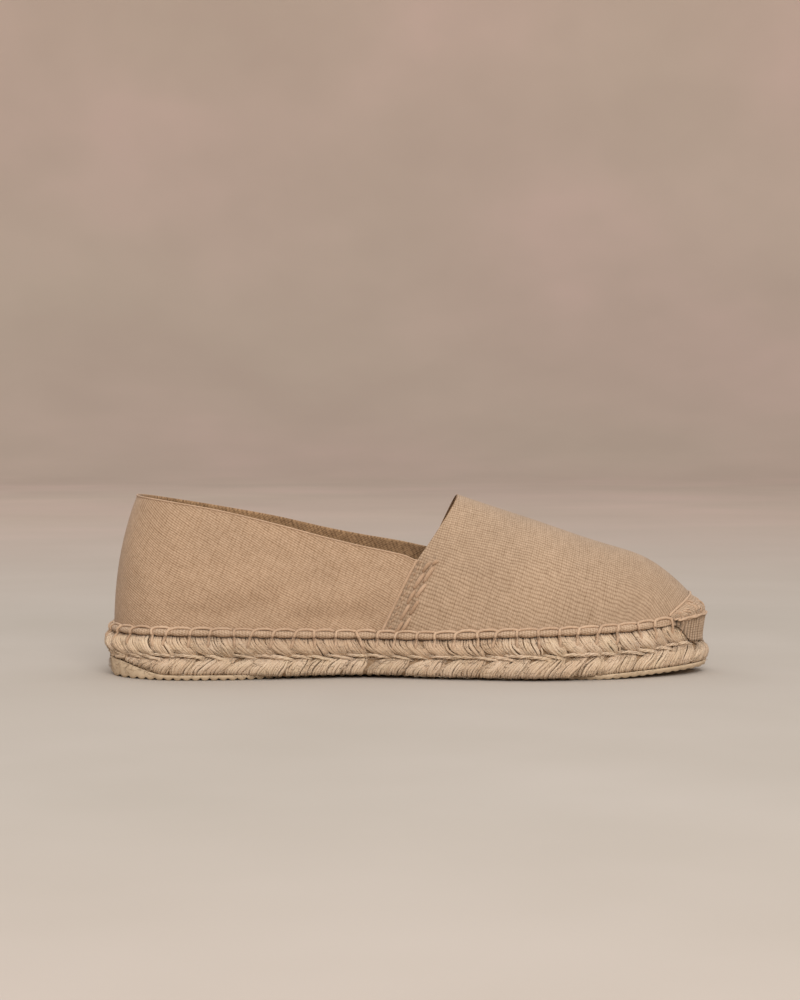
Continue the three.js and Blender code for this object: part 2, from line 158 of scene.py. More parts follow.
@dataclass(frozen=True)
class Last:
    """The shoe last and the plan of the sole."""

    tip: float = 135.0
    canvas_heel: float = -131.7
    canvas_tip: float = 132.4
    foot_inset: float = 2.6
    gap: float = 0.3
    hem_high: float = 3.2
    throat_x: float = 23.6
    collar_x: float = -121.4
    toe_spring: float = 3.2
    spring_x: float = 82.0
    spring_power: float = 1.1
    arch_lift: float = 0.5
    arch_rise: tuple[float, float] = (-70, -35)
    arch_fall: tuple[float, float] = (-15, 15)
    heel_tuck: float = 1.6
    heel_tuck_ends: tuple[float, float] = (-132, -100)
    waist_start: tuple[float, float] = (-80, -52)  # here the rubber draws in under the jute
    waist_end: tuple[float, float] = (62, 92)  # and here it comes out again
    lip: float = 5.8
    lip_ends: tuple[float, float] = (-134, -106)
    spine_ends: tuple[float, float] = (-112, 108)
    axis_toe: float = 70.0
    axis_toe_share: float = 0.45
    axis_heel: float = -90.0
    axis_heel_share: float = 0.4
    ray_reach: float = 6.0
    halvings: int = 34
    plan_heel: End = End(-92, 2.2)
    plan_toe: End = End(36, 2)
    crest_heel: End = End(-85, 2.1)
    crest_toe: End = End(88, 2.2)
    inner: Seam = Seam(-13.7, 2.9, 51.9)
    outer: Seam = Seam(-3, 12.2, 53.7)
    centre: Rail = Rail(
        ((-135, -2.5), (-100, -2.5), (-62, -1), (-20, 1), (20, 1.4), (52, 0), (82, -1.8), (135, -5.5))
    )
    half: Rail = Rail(
        ((-135, 35), (-100, 35), (-62, 35), (-20, 33), (20, 42.24), (52, 48), (82, 47.04), (135, 42))
    )
    crest: Rail = Rail(
        (
            (-135, 111), (-85, 112), (-40, 104.5), (0, 88.5), (23.6, 79.4),
            (57, 68.3), (90, 57.3), (112, 52.6), (135, 43),
        )
    )
    across: Rail = Rail(((-135, 2.2), (-60, 2.2), (0, 2), (135, 2)))
    up: Rail = Rail(((-135, 2.4), (-60, 2.2), (0, 1.9), (135, 2)))
    inner_top: Rail = Rail(
        (
            (-121.4, 79.9), (-107, 78), (-85, 74.2), (-60, 68.2), (-37, 61.9),
            (-22, 58.2), (-3, 54.1), (2.9, 51.9), (12.2, 51.9),
        )
    )
    outer_top: Rail = Rail(
        (
            (-121.4, 79.9), (-107, 77.2), (-85, 73.4), (-60, 68.8), (-37, 63.6),
            (-22, 60.6), (-3, 57.2), (2.9, 55.9), (12.2, 53.7),
        )
    )
    jute_top: Rail = Rail(
        (
            (-135, 19.2), (-90, 18.8), (-48, 17.6), (-8, 16.8), (16, 17.1),
            (44, 18.6), (80, 19.7), (106, 21.2), (135, 24),
        )
    )

    def underside(self, x: Array) -> Array:
        """Height of the sole's underside."""
        reach = np.maximum(x - self.spring_x, 0) / (self.tip - self.spring_x)
        toe = self.toe_spring * reach**self.spring_power
        return toe + self.arch_lift * ramp(x, *self.arch_rise) * (1 - ramp(x, *self.arch_fall))

    def heel_in(self, x: Array) -> Array:
        """How far the rubber and the lower row of jute stay back behind the heel."""
        return self.heel_tuck * (1 - ramp(x, *self.heel_tuck_ends))

    def waist(self, x: Array) -> Array:
        """Share by which the rubber has drawn in, 1 under the waist and 0 at heel and forefoot."""
        return ramp(x, *self.waist_start) * (1 - ramp(x, *self.waist_end))

    def lip_rise(self, x: Array) -> Array:
        """How far the rubber laps up round the back of the heel."""
        return self.lip * (1 - ramp(x, *self.lip_ends))

    def spine(self, x: Array) -> Array:
        """Plan points on the sole's middle line, kept off both ends."""
        at = np.clip(x, *self.spine_ends)
        return np.stack([at, self.centre.at(at)], axis=1)

    def canvas_foot(self, x: Array) -> Array:
        """Height of the foot of the canvas."""
        return self.jute_top.at(x) + self.gap

    def section(self, x: Array, grow: Array | float) -> tuple[Array, Array, Array]:
        """Half width, foot and height of the form's cross-section, grown by a distance."""
        heel, tip = self.canvas_heel - grow, self.canvas_tip + grow
        plan = self.plan_heel.closing(x, heel) * self.plan_toe.closing(x, tip)
        rise = self.crest_heel.closing(x, heel) * self.crest_toe.closing(x, tip)
        foot = self.canvas_foot(x)
        return (
            (self.half.at(x) - self.foot_inset + grow) * plan,
            foot,
            (self.crest.at(x) - foot + grow) * rise,
        )

    def half_at(self, x: Array, z: Array, grow: Array | float) -> Array:
        """Half the width of the form at x and a height above the floor."""
        half, foot, height = self.section(x, grow)
        level = np.clip(np.maximum(z - foot, 0) / np.maximum(height, TINY), 0, 1)
        return np.maximum(half, 0) * (1 - level ** self.up.at(x)) ** (1 / self.across.at(x))

    def axis_under(self, x: Array) -> Array:
        """Start points of the rays, on an axis that stops short of both ends."""
        beyond_toe = np.maximum(x - self.axis_toe, 0) * self.axis_toe_share
        beyond_heel = np.minimum(x - self.axis_heel, 0) * self.axis_heel_share
        at = np.clip(x, self.axis_heel, self.axis_toe) + beyond_toe + beyond_heel
        return np.stack([at, self.centre.at(at), self.canvas_foot(at)], axis=-1)

    def on_form(self, towards: Array, grow: Array | float) -> Array:
        """Points of the grown form on the rays from the axis through the given points.

        Args:
            towards: Points near the form, one a row.
            grow: Distance outwards, for all or for each point.

        Returns:
            Points on the form, one a row.
        """
        start = self.axis_under(towards[:, 0])
        ray = towards - start
        near, far = np.zeros(len(ray)), np.full(len(ray), self.ray_reach)
        for _ in range(self.halvings):
            middle = (near + far) / 2
            x, y, z = (start + ray * middle[:, None]).T
            inside = np.abs(y - self.centre.at(x)) < self.half_at(x, z, grow)
            near, far = np.where(inside, middle, near), np.where(inside, far, middle)
        return start + ray * near[:, None]

    def edge_points(self, side: int, x: Array, z: Array) -> Array:
        """Points of the form at given x and heights on one side."""
        return np.stack([x, self.centre.at(x) + side * self.half_at(x, z, 0), z], axis=-1)

    def seam(self, side: int) -> Seam:
        """The side seam of one side: +1 outer, -1 inner."""
        return self.outer if side > 0 else self.inner

    def foot_span(self) -> tuple[float, float]:
        """Middle and half length of the foot of the canvas."""
        return (self.canvas_tip + self.canvas_heel) / 2, (self.canvas_tip - self.canvas_heel) / 2

    def foot_line(self, side: int, start: float, end: float, steps: int) -> Array:
        """Foot of the canvas on one side between two plan angles, in even steps."""
        middle, reach = self.foot_span()
        x = middle + reach * np.cos(np.linspace(start, end, CURVE_SAMPLES))
        return evenly(self.edge_points(side, x, self.canvas_foot(x)), steps)

    def foot_angle(self, x: float) -> float:
        """Plan angle at which the foot of the canvas has a given x."""
        middle, reach = self.foot_span()
        return math.acos((x - middle) / reach)

    def throat_line(self, side: int, steps: int) -> Array:
        """Throat from its top on the centre line down to the corner, in even steps."""
        drop = 1 - np.cos(np.linspace(0, math.pi / 2, CURVE_SAMPLES))
        corner, top = self.seam(side), float(self.crest.at(self.throat_x))
        x = self.throat_x + (corner.x - self.throat_x) * drop
        return evenly(self.edge_points(side, x, top + (corner.z - top) * drop), steps)

    def topline(self, side: int, steps: int) -> Array:
        """Topline of the quarter from the corner back to the heel, in even steps."""
        corner = self.seam(side)
        x = corner.x + (self.collar_x - corner.x) * np.sin(np.linspace(0, math.pi / 2, CURVE_SAMPLES))
        rail = self.outer_top if side > 0 else self.inner_top
        return evenly(self.edge_points(side, x, rail.at(x)), steps)

    def plan_point(self, angle: Array) -> Array:
        """Points of the sole's plan: angle 0 is the toe and a quarter turn is the outer side."""
        x = self.tip * np.cos(angle)
        ends = self.plan_heel.closing(x, -self.tip) * self.plan_toe.closing(x, self.tip)
        return np.stack([x, self.centre.at(x) + np.sign(np.sin(angle)) * self.half.at(x) * ends], axis=-1)


LAST = Last()


@dataclass(frozen=True)
class SoleWalk:
    """The outline of the sole by distance: it runs forward on the inner side and back on the outer."""

    last: Last = LAST
    samples: int = 7201
    nudge: float = 0.004  # angle to either side that gives the direction of the outline

    def __post_init__(self) -> None:
        """Measures the outline once."""
        angles = np.linspace(math.pi, 3 * math.pi, self.samples)
        points = self.last.plan_point(angles)
        object.__setattr__(self, "_angles", angles)
        object.__setattr__(self, "_points", points)
        object.__setattr__(self, "_run", lengths_along(points))

    @property
    def length(self) -> float:
        """Distance once round the sole."""
        return float(self._run[-1])

    def angle(self, run: Array) -> Array:
        """Plan angle at a distance from the back of the heel."""
        return np.interp(np.mod(run, self.length), self._run, self._angles)

    def run_beside(self, point: Array) -> float:
        """Distance along the outline beside a point of the canvas's foot."""
        away = np.linalg.norm(self._points - point[:2], axis=1)
        return float(self._run[int(np.argmin(away))])

    def base(self, run: Array) -> tuple[Array, Array]:
        """Plan points and outward plan directions at distances along the outline."""
        angle = self.angle(run)
        ahead, behind = self.last.plan_point(angle + self.nudge), self.last.plan_point(angle - self.nudge)
        along = unit(ahead - behind)
        return self.last.plan_point(angle), np.stack([along[..., 1], -along[..., 0]], axis=-1)

    def place(self, run: Array, inset: Array, height: Callable[[Array], Array]) -> tuple[Array, Array]:
        """Points moved in from the outline.

        Args:
            run: Distances from the back of the heel.
            inset: How far in from the outline, for each point.
            height: Height of a point as a function of its x.

        Returns:
            The points and their outward directions.
        """
        plan, out = self.base(run)
        flat = plan - out * np.asarray(inset)[..., None]
        point = np.concatenate([flat, height(flat[..., 0])[..., None]], axis=-1)
        return point, np.concatenate([out, np.zeros_like(out[..., :1])], axis=-1)


WALK = SoleWalk()


# ---- Meshes from grids ----


def link(name: str, data: bpy.types.ID) -> Piece:
    """Puts a mesh, lamp or camera into the scene as an object."""
    thing = bpy.data.objects.new(name, data)
    bpy.context.scene.collection.objects.link(thing)
    return thing


def mesh_object(bm: Mesh, name: str, finishes: Sequence[Material]) -> Piece:
    """Turns a bmesh in metres into a smooth object with its materials."""
    for face in bm.faces:
        face.smooth = True
    mesh = bpy.data.meshes.new(name)
    bm.to_mesh(mesh)
    bm.free()
    for finish in finishes:
        mesh.materials.append(finish)
    LOG.info("%s: %d faces", name, len(mesh.polygons))
    return link(name, mesh)


def finish_piece(bm: Mesh, name: str, finishes: Sequence[Material]) -> Piece:
    """Turns a bmesh into a piece of the shoe.

    Args:
        bm: The mesh, in millimetres.
        name: Name of the piece.
        finishes: Its materials.

    Returns:
        The new object, riding on the root body.
    """
    bmesh.ops.scale(bm, vec=(MM, MM, MM), verts=bm.verts)
    piece = mesh_object(bm, name, finishes)
    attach(piece, "root")
    return piece


def grid(columns: int, rows: int) -> tuple[Mesh, Array, Array]:
    """A flat grid and the place of each of its vertices in it.

    Args:
        columns: Steps along the first direction.
        rows: Steps along the second direction.

    Returns:
        The mesh, and each vertex's column and row number.
    """
    bm = bmesh.new()
    bmesh.ops.create_grid(bm, x_segments=columns, y_segments=rows, size=1)
    flat = np.array([v.co[:2] for v in bm.verts])
    flat = (flat - flat.min(axis=0)) / (flat.max(axis=0) - flat.min(axis=0))
    return bm, np.rint(flat[:, 0] * columns).astype(int), np.rint(flat[:, 1] * rows).astype(int)


def move_to(bm: Mesh, points: Array) -> None:
    """Moves the vertices of a mesh to an array of points."""
    for vert, point in zip(bm.verts, points.tolist()):
        vert.co = point


def weld(bm: Mesh, holes: int | None = None) -> None:
    """Merges coinciding vertices, closes holes and turns the faces outwards.

    Args:
        bm: The mesh.
        holes: Most sides of a hole to close: 0 closes any hole, None closes none.
    """
    bmesh.ops.remove_doubles(bm, verts=bm.verts, dist=WELD)
    if holes is not None:
        bmesh.ops.holes_fill(bm, edges=[e for e in bm.edges if e.is_boundary], sides=holes)
    bmesh.ops.recalc_face_normals(bm, faces=bm.faces)


def write_shade(bm: Mesh, name: str, values: Array) -> None:
    """Writes one number a vertex, for a material to read by name."""
    layer = bm.verts.layers.float.new(name)
    for vert, value in zip(bm.verts, values.tolist()):
        vert[layer] = value


def lay_uv(bm: Mesh, u: Array, v: Array) -> None:
    """Writes the UV map, one value of u and v a vertex, before the mesh is welded."""
    layer = bm.loops.layers.uv.new("UVMap")
    chart = np.stack([u, v], axis=1).tolist()
    for face in bm.faces:
        for loop in face.loops:
            loop[layer].uv = chart[loop.vert.index]


@dataclass
class Strands:
    """Many yarns or threads of one piece, each a tapered tube along its own path."""

    sides: int = 5
    offset: float = 7.3  # how far each strand's fibres are moved on from the last one's
    paths: list[Array] = field(default_factory=list)
    outs: list[Array] = field(default_factory=list)
    radii: list[Array] = field(default_factory=list)
    tones: list[float] = field(default_factory=list)

    def lay(self, path: Array, out: Array, radius: Array | float, tone: float = 0.5) -> None:
        """Adds one strand.

        Args:
            path: Its points, as many as every other strand of the piece has.
            out: Outward direction, for all or for each point.
            radius: Its radius, for all or for each point.
            tone: Shade of the strand, from 0 dark to 1 light.
        """
        self.paths.append(path)
        self.outs.append(np.broadcast_to(out, path.shape))
        self.radii.append(np.broadcast_to(np.asarray(radius, float), path.shape[:1]))
        self.tones.append(tone)

    def mesh(self) -> Mesh:
        """Rolls one long grid into all the tubes and cuts it between them.

        Returns:
            The mesh, with the share round and the length along as UV, and each strand's tone.
        """
        paths, outs = np.array(self.paths), np.array(self.outs)
        count, points = paths.shape[:2]
        along = unit(np.gradient(paths, axis=1))
        side = unit(np.cross(along, outs))
        front = np.cross(side, along)
        bm, column, row = grid(self.sides, count * points - 1)
        strand, at = row // points, row % points
        turn = 2 * math.pi * column / self.sides
        radius = np.array(self.radii)[strand, at][:, None]
        ring = np.cos(turn)[:, None] * front[strand, at] + np.sin(turn)[:, None] * side[strand, at]
        move_to(bm, paths[strand, at] + radius * ring)
        steps = np.linalg.norm(np.diff(paths, axis=1), axis=2)
        run = np.concatenate([np.zeros((count, 1)), np.cumsum(steps, axis=1)], axis=1)
        write_shade(bm, "tone", np.array(self.tones)[strand])
        lay_uv(bm, column / self.sides, run[strand, at] + strand * self.offset)
        joins = [f for f in bm.faces if len({int(strand[v.index]) for v in f.verts}) > 1]
        bmesh.ops.delete(bm, geom=joins, context="FACES")
        weld(bm, holes=self.sides)
        return bm


# ---- Finishes ----


def add(
    tree: Tree, kind: str, inputs: Mapping[int | str, object] | None = None, **settings: object
) -> bpy.types.Node:
    """Adds one node with its settings and links.

    Args:
        tree: The node tree.
        kind: The node's type after "ShaderNode".
        inputs: Values, or nodes and sockets to link, by input name or number.
        **settings: The node's own properties.

    Returns:
        The new node.
    """
    node = tree.nodes.new("ShaderNode" + kind)
    for name, value in settings.items():
        setattr(node, name, value)
    for key, value in (inputs or {}).items():
        socket = node.inputs[key]
        if isinstance(value, bpy.types.Node):
            value = next(s for s in value.outputs if s.enabled)
        if isinstance(value, bpy.types.NodeSocket):
            tree.links.new(value, socket)
        else:
            socket.default_value = value
    return node


def calc(tree: Tree, operation: str, *values: object) -> bpy.types.Node:
    """One step of arithmetic on values or nodes."""
    return add(tree, "Math", dict(enumerate(values)), operation=operation)


def blend_colours(tree: Tree, share: object, dark: object, light: object) -> Socket:
    """Mixes two colours by a share."""
    return add(tree, "Mix", {0: share, 6: dark, 7: light}, data_type="RGBA").outputs[2]


def scaled(tree: Tree, colour: object, factor: object) -> bpy.types.Node:
    """Makes a colour lighter or darker by a factor."""
    return add(tree, "VectorMath", {0: colour, 3: factor}, operation="SCALE")


@dataclass(frozen=True)
class Finish:
    """A material: what it is made of and how its surface was made."""

    name: str
    light: str
    dark: str
    roughness: float = 0.9
    sheen: float = 0.0
    relief: float = 0.3
    specular: float = 0.25

    def made(self) -> Material:
        """Builds the material.

        Returns:
            The material, ready to assign.
        """
        material = bpy.data.materials.new(self.name)
        material.use_nodes = True
        tree = material.node_tree
        tree.nodes.clear()
        colour, height = self.surface(tree)
        bump = add(tree, "Bump", {"Height": height, "Distance": self.relief * MM, "Strength": 1.0})
        shader = add(tree, "BsdfPrincipled", {"Base Color": colour, "Normal": bump})
        shader.inputs["Roughness"].default_value = self.roughness
        shader.inputs["Sheen Weight"].default_value = self.sheen
        shader.inputs["Specular IOR Level"].default_value = self.specular
        add(tree, "OutputMaterial", {"Surface": shader})
        return material

    def surface(self, tree: Tree) -> tuple[object, object]:
        """Colour and relief of the surface.

        Args:
            tree: The material's node tree.

        Returns:
            The colour and the height from 0 to 1.
        """
        raise NotImplementedError


def patches(tree: Tree, size: float, low: float, high: float) -> bpy.types.Node:
    """Cloudy patches of a size in millimetres, as a factor between two values."""
    place = add(tree, "TexCoord").outputs["Object"]
    noise = add(tree, "TexNoise", {"Vector": place, "Scale": 1 / (size * MM), "Detail": 3.0})
    # A noise seldom leaves this middle part of its range.
    inputs = {"Value": noise, "From Min": 0.3, "From Max": 0.7, "To Min": low, "To Max": high}
    return add(tree, "MapRange", inputs)


@dataclass(frozen=True)
class WovenCanvas(Finish):
    """Plain-woven cotton canvas. The UV map counts cords one way and fine threads the other."""

    cords: float = 0.4
    threads: float = 0.4
    crossing: float = 0.05
    slubs: float = 0.5
    wander: float = 1.4
    wander_scale: float = 0.11
    sole_darkening: float = 0.08
    darkening_low: float = 20.0
    darkening_high: float = 34.0
    cloud: tuple[float, float, float] = (34, 0.93, 1.05)
    slub_relief: float = 0.6
    # Noise scale across and along the cords: long cord slubs, long thread slubs, knots.
    stretches: tuple[tuple[float, float], ...] = ((0.14, 1.0), (1.0, 0.2), (1.3, 1.3))

    def surface(self, tree: Tree) -> tuple[object, object]:
        """Threads over and under each other, with slubs, a cloudy tone, darker towards the sole, and the
        painted shade that a piece writes as fold_shade.
        """
        uv = add(tree, "UVMap", uv_map="UVMap")
        sway = add(tree, "TexNoise", {"Vector": uv, "Scale": self.wander_scale, "Detail": 2.0})
        sway = calc(tree, "SUBTRACT", sway, 0.5)
        parts = add(tree, "SeparateXYZ", {0: uv})
        across = calc(tree, "MULTIPLY_ADD", sway, self.wander, parts.outputs[0])
        along = calc(tree, "MULTIPLY_ADD", sway, -self.wander, parts.outputs[1])
        cord = calc(tree, "COSINE", calc(tree, "MULTIPLY", across, math.pi))
        thread = calc(tree, "COSINE", calc(tree, "MULTIPLY", along, math.pi))
        height = calc(tree, "MULTIPLY", calc(tree, "MULTIPLY", cord, thread), self.crossing)
        height = calc(tree, "MULTIPLY_ADD", calc(tree, "ABSOLUTE", cord), self.cords, height)
        height = calc(tree, "MULTIPLY_ADD", calc(tree, "ABSOLUTE", thread), self.threads, height)
        uneven: object = 0.0
        for wide, long in self.stretches:
            axes = {0: calc(tree, "MULTIPLY", across, wide), 1: calc(tree, "MULTIPLY", along, long)}
            place = add(tree, "CombineXYZ", axes)
            slub = add(tree, "TexNoise", {"Vector": place, "Scale": 1.0, "Detail": 2.0})
            uneven = calc(tree, "MULTIPLY_ADD", calc(tree, "SUBTRACT", slub, 0.5), self.slubs, uneven)
        # The mean of an absolute cosine is 2 / pi, so the cloth's average lies between its two colours.
        middle = 0.5 - (self.cords + self.threads) * 2 / math.pi
        # The colour darkens where the weave is low: painted shade in the gaps between threads.
        share = add(tree, "Clamp", {0: calc(tree, "ADD", calc(tree, "ADD", height, middle), uneven)})
        colour = blend_colours(tree, share, linear(self.dark), linear(self.light))
        # Darker towards the sole, below the given heights.
        up = add(tree, "SeparateXYZ", {0: add(tree, "TexCoord").outputs["Object"]}).outputs[2]
        heights = {"Value": up, "From Min": self.darkening_low * MM, "From Max": self.darkening_high * MM}
        undarkened = add(tree, "MapRange", {**heights, "To Min": 1 - self.sole_darkening, "To Max": 1.0})
        cloud = calc(tree, "MULTIPLY", patches(tree, *self.cloud), undarkened)
        # Painted shade that a piece writes: in the pits beside the side seams and in the pleats of the toe.
        shade = add(tree, "Attribute", attribute_name="fold_shade").outputs["Fac"]
        cloud = calc(tree, "MULTIPLY", cloud, calc(tree, "MULTIPLY_ADD", shade, -1.0, 1.0))
        return scaled(tree, colour, cloud), calc(tree, "MULTIPLY_ADD", uneven, self.slub_relief, height)


@dataclass(frozen=True)
class JuteYarn(Finish):
    """Jute, twisted loosely and plaited: streaked with fibres along each yarn."""

    straw: str = "DDC7A8"
    streaks: float = 5.0
    twist: float = 0.16
    stretch: float = 0.12
    fibre_scale: float = 2.2
    fibre_share: float = 1.3
    tone_share: float = 0.7
    offset: float = -0.5
    straw_size: float = 7.0
    cloud: tuple[float, float, float] = (26, 0.92, 1.06)

    def surface(self, tree: Tree) -> tuple[object, object]:
        """Fibres that wind round the yarn, in the yarn's tone, which in the braid's rows also carries painted
        shade.
        """
        parts = add(tree, "SeparateXYZ", {0: add(tree, "UVMap", uv_map="UVMap")})
        turns = calc(tree, "MULTIPLY_ADD", parts.outputs[1], self.twist, parts.outputs[0])
        angle = calc(tree, "MULTIPLY", turns, math.tau)
        round_yarn = self.streaks / math.tau
        axes = {
            0: calc(tree, "MULTIPLY", calc(tree, "COSINE", angle), round_yarn),
            1: calc(tree, "MULTIPLY", calc(tree, "SINE", angle), round_yarn),
            2: calc(tree, "MULTIPLY", parts.outputs[1], self.stretch),
        }
        place = add(tree, "CombineXYZ", axes)
        fine = {"Scale": self.fibre_scale, "Detail": 4.0, "Roughness": 0.65}
        fibre = add(tree, "TexNoise", {"Vector": place, **fine})
        tone = add(tree, "Attribute", attribute_name="tone").outputs["Fac"]
        tone = calc(tree, "MULTIPLY_ADD", tone, self.tone_share, self.offset)
        share = add(tree, "Clamp", {0: calc(tree, "MULTIPLY_ADD", fibre, self.fibre_share, tone)})
        straws = patches(tree, self.straw_size, 0.0, 1.0)
        light = blend_colours(tree, straws, linear(self.straw), linear(self.light))
        colour = blend_colours(tree, share, linear(self.dark), light)
        return scaled(tree, colour, patches(tree, *self.cloud)), fibre


@dataclass(frozen=True)
class JuteCore(Finish):
    """The body of the braid behind its outer yarns, painted darker as the shade between them."""

    fibre_scale: float = 700.0

    def surface(self, tree: Tree) -> tuple[object, object]:
        """Coarse fibre bundles."""
        place = add(tree, "TexCoord").outputs["Object"]
        fibre = add(tree, "TexNoise", {"Vector": place, "Scale": self.fibre_scale, "Detail": 3.0})
        return blend_colours(tree, fibre, linear(self.dark), linear(self.light)), fibre


@dataclass(frozen=True)
class CrepeRubber(Finish):
    """Moulded rubber with a dull, slightly grainy skin."""

    grain_scale: float = 1400.0
    dust_size: float = 9.0

    def surface(self, tree: Tree) -> tuple[object, object]:
        """Fine grain and faint dust."""
        place = add(tree, "TexCoord").outputs["Object"]
        grain = add(tree, "TexNoise", {"Vector": place, "Scale": self.grain_scale, "Detail": 3.0})
        dust = patches(tree, self.dust_size, 0.0, 1.0)
        share = calc(tree, "ADD", calc(tree, "MULTIPLY", grain, 0.5), calc(tree, "MULTIPLY", dust, 0.5))
        return blend_colours(tree, share, linear(self.dark), linear(self.light)), grain


@dataclass(frozen=True)
class WovenInsole(Finish):
    """Flat-woven insole cloth on the sole, laid square to the shoe."""

    thread: float = 1.3
    noise_scale: float = 500.0
    cloud: tuple[float, float, float] = (30, 0.9, 1.05)

    def surface(self, tree: Tree) -> tuple[object, object]:
        """A plain weave on the shoe's own length and width, worn a little darker in patches."""
        place = add(tree, "TexCoord").outputs["Object"]
        parts = add(tree, "SeparateXYZ", {0: place})
        turn = math.pi / (self.thread * MM)
        warp = calc(tree, "COSINE", calc(tree, "MULTIPLY", parts.outputs[0], turn))
        weft = calc(tree, "COSINE", calc(tree, "MULTIPLY", parts.outputs[1], turn))
        height = calc(tree, "MAXIMUM", calc(tree, "ABSOLUTE", warp), calc(tree, "ABSOLUTE", weft))
        noise = add(tree, "TexNoise", {"Vector": place, "Scale": self.noise_scale, "Detail": 2.0})
        # Darker where the weave is low: painted shade in the gaps between threads.
        share = calc(tree, "MULTIPLY", height, calc(tree, "ADD", noise, 0.4))
        colour = blend_colours(tree, share, linear(self.dark), linear(self.light))
        return scaled(tree, colour, patches(tree, *self.cloud)), height


@dataclass(frozen=True)
class LimePlaster(Finish):
    """Pale limewashed plaster of the stage: a smooth floor that turns into a mottled wall."""

    wall: tuple[str, str, str] = ("CDB7AB", "C5B7A6", "BFAC9F")
    wall_start: float = 0.35
    wall_full: float = 1.5
    # Painted light: the plaster grows lighter with height, by the first factor at the floor and the second at
    # this height.
    painted_light_top: float = 1.2
    lift: tuple[float, float] = (0.96, 1.28)
    rosy_size: float = 520.0
    shade_size: float = 260.0
    trowel_size: float = 160.0
    grit_size: float = 4.0

    def surface(self, tree: Tree) -> tuple[object, object]:
        """Faint trowel clouds on the floor, soft rosy and straw patches on the wall, and painted light that
        brightens it with height.
        """
        place = add(tree, "TexCoord").outputs["Object"]
        away = add(tree, "VectorMath", {0: place}, operation="LENGTH").outputs["Value"]
        far = add(tree, "MapRange", {"Value": away, "From Min": self.wall_start, "From Max": self.wall_full})
        rosy, straw, shade = (linear(code) for code in self.wall)
        wall = blend_colours(tree, patches(tree, self.rosy_size, 0.0, 1.0), rosy, straw)
        wall = blend_colours(tree, patches(tree, self.shade_size, 0.0, 0.7), wall, shade)
        clouds = patches(tree, self.trowel_size, 0.0, 1.0)
        floor = blend_colours(tree, clouds, linear(self.dark), linear(self.light))
        colour = blend_colours(tree, far, floor, wall)
        # Painted light: brighter with height.
        up = add(tree, "SeparateXYZ", {0: place}).outputs[2]
        low, high = self.lift
        heights = {"Value": up, "From Min": 0.0, "From Max": self.painted_light_top, "To Min": low, "To Max": high}
        lift = add(tree, "MapRange", heights)
        return scaled(tree, colour, lift), patches(tree, self.grit_size, 0.0, 1.0)


@dataclass
class Palette:
    """Every material of the shoe, each built once."""

    def __post_init__(self) -> None:
        """Builds the materials."""
        # Undyed cotton, woven coarse: soft, no shine, with painted shade in the gaps between threads.
        self.quarter = WovenCanvas(
            "woven_cotton_quarter", "CCAE91", "8A6C4F", 0.92, 0.1, 0.24, cords=0.16, threads=0.5
        ).made()
        # The same cloth cut for the vamp, where its cords stand out more; its colour is a touch less
        # saturated, as painted sheen from the light above.
        self.vamp = WovenCanvas(
            "woven_cotton_vamp_painted_sheen", "C6AB90", "83694F", 0.92, 0.1, 0.24, cords=0.4, threads=0.28, sole_darkening=0.05
        ).made()
        # The same cotton inside, napped by wear so its threads are less crisp, and painted darker as the
        # shade inside the shoe.
        self.lining = WovenCanvas(
            "napped_cotton_lining_painted_shade", "B08D69", "775B3F", 0.98, 0.15, 0.2, slubs=1.2
        ).made()
        # Rolled hem and gathered toe: the same canvas, turned under.
        self.rolled = WovenCanvas("rolled_canvas_hem", "D3B89D", "9A7D60", 0.92, 0.1, 0.24).made()
        # Jute, plaited: pale straw fibres with a silky streak.
        self.jute = JuteYarn("plaited_jute_yarn", "E6CFB6", "C2A587", 0.88, 0.1, 0.4).made()
        # The same jute, painted darker as the shade between the yarns.
        self.core = JuteCore("jute_core_painted_shade", "B89A7A", "92765A", 0.95, 0.0, 0.4).made()
        # Waxed cotton sewing thread: twisted, paler than the canvas.
        self.thread = JuteYarn(
            "waxed_cotton_thread", "DCC0A3", "A5856A", 0.85, 0.1, 0.3, straw="D5B798", streaks=3.0, twist=0.35
        ).made()
        # Folded canvas edge and seam thread: the cloth's own colour, twisted.
        self.seam = JuteYarn(
            "twisted_cotton_cord", "D8B99C", "9A7A5E", 0.9, 0.1, 0.35, straw="D0B091", streaks=3.0, twist=0.5
        ).made()
        # Natural crepe rubber, moulded: dull cream with a faint bloom.
        self.rubber = CrepeRubber("moulded_crepe_rubber", "D2BC9F", "BCA587", 0.62, 0.0, 0.06).made()
        # Woven insole cloth, a shade darker than the upper.
        self.insole = WovenInsole("woven_insole_cloth", "B99972", "836245", 0.95, 0.05, 0.25).made()


# ---- Upper ----


class Panel(Enum):
    """The panels of the upper, numbered as its materials are."""

    VAMP = 0
    QUARTER = 1
    LINING = 2


@dataclass(frozen=True)
class Fold:
    """A soft trough or ridge pressed into the canvas.

    Its centre line runs from start to end in the side view, at the given width and depth.
    """

    side: int
    start: tuple[float, float]
    end: tuple[float, float]
    width: float
    depth: float

    def push(self, points: Array) -> Array:
        """How far the fold moves each point of the canvas outwards."""
        a, b = np.array(self.start), np.array(self.end)
        flat = points[:, [0, 2]]
        share = np.clip(((flat - a) @ (b - a)) / ((b - a) @ (b - a)), 0, 1)
        away = np.linalg.norm(flat - (a + share[:, None] * (b - a)), axis=1)
        facing = (points[:, 1] - LAST.centre.at(points[:, 0])) * self.side > 0
        return facing * self.depth * np.exp(-((away / self.width) ** 2))


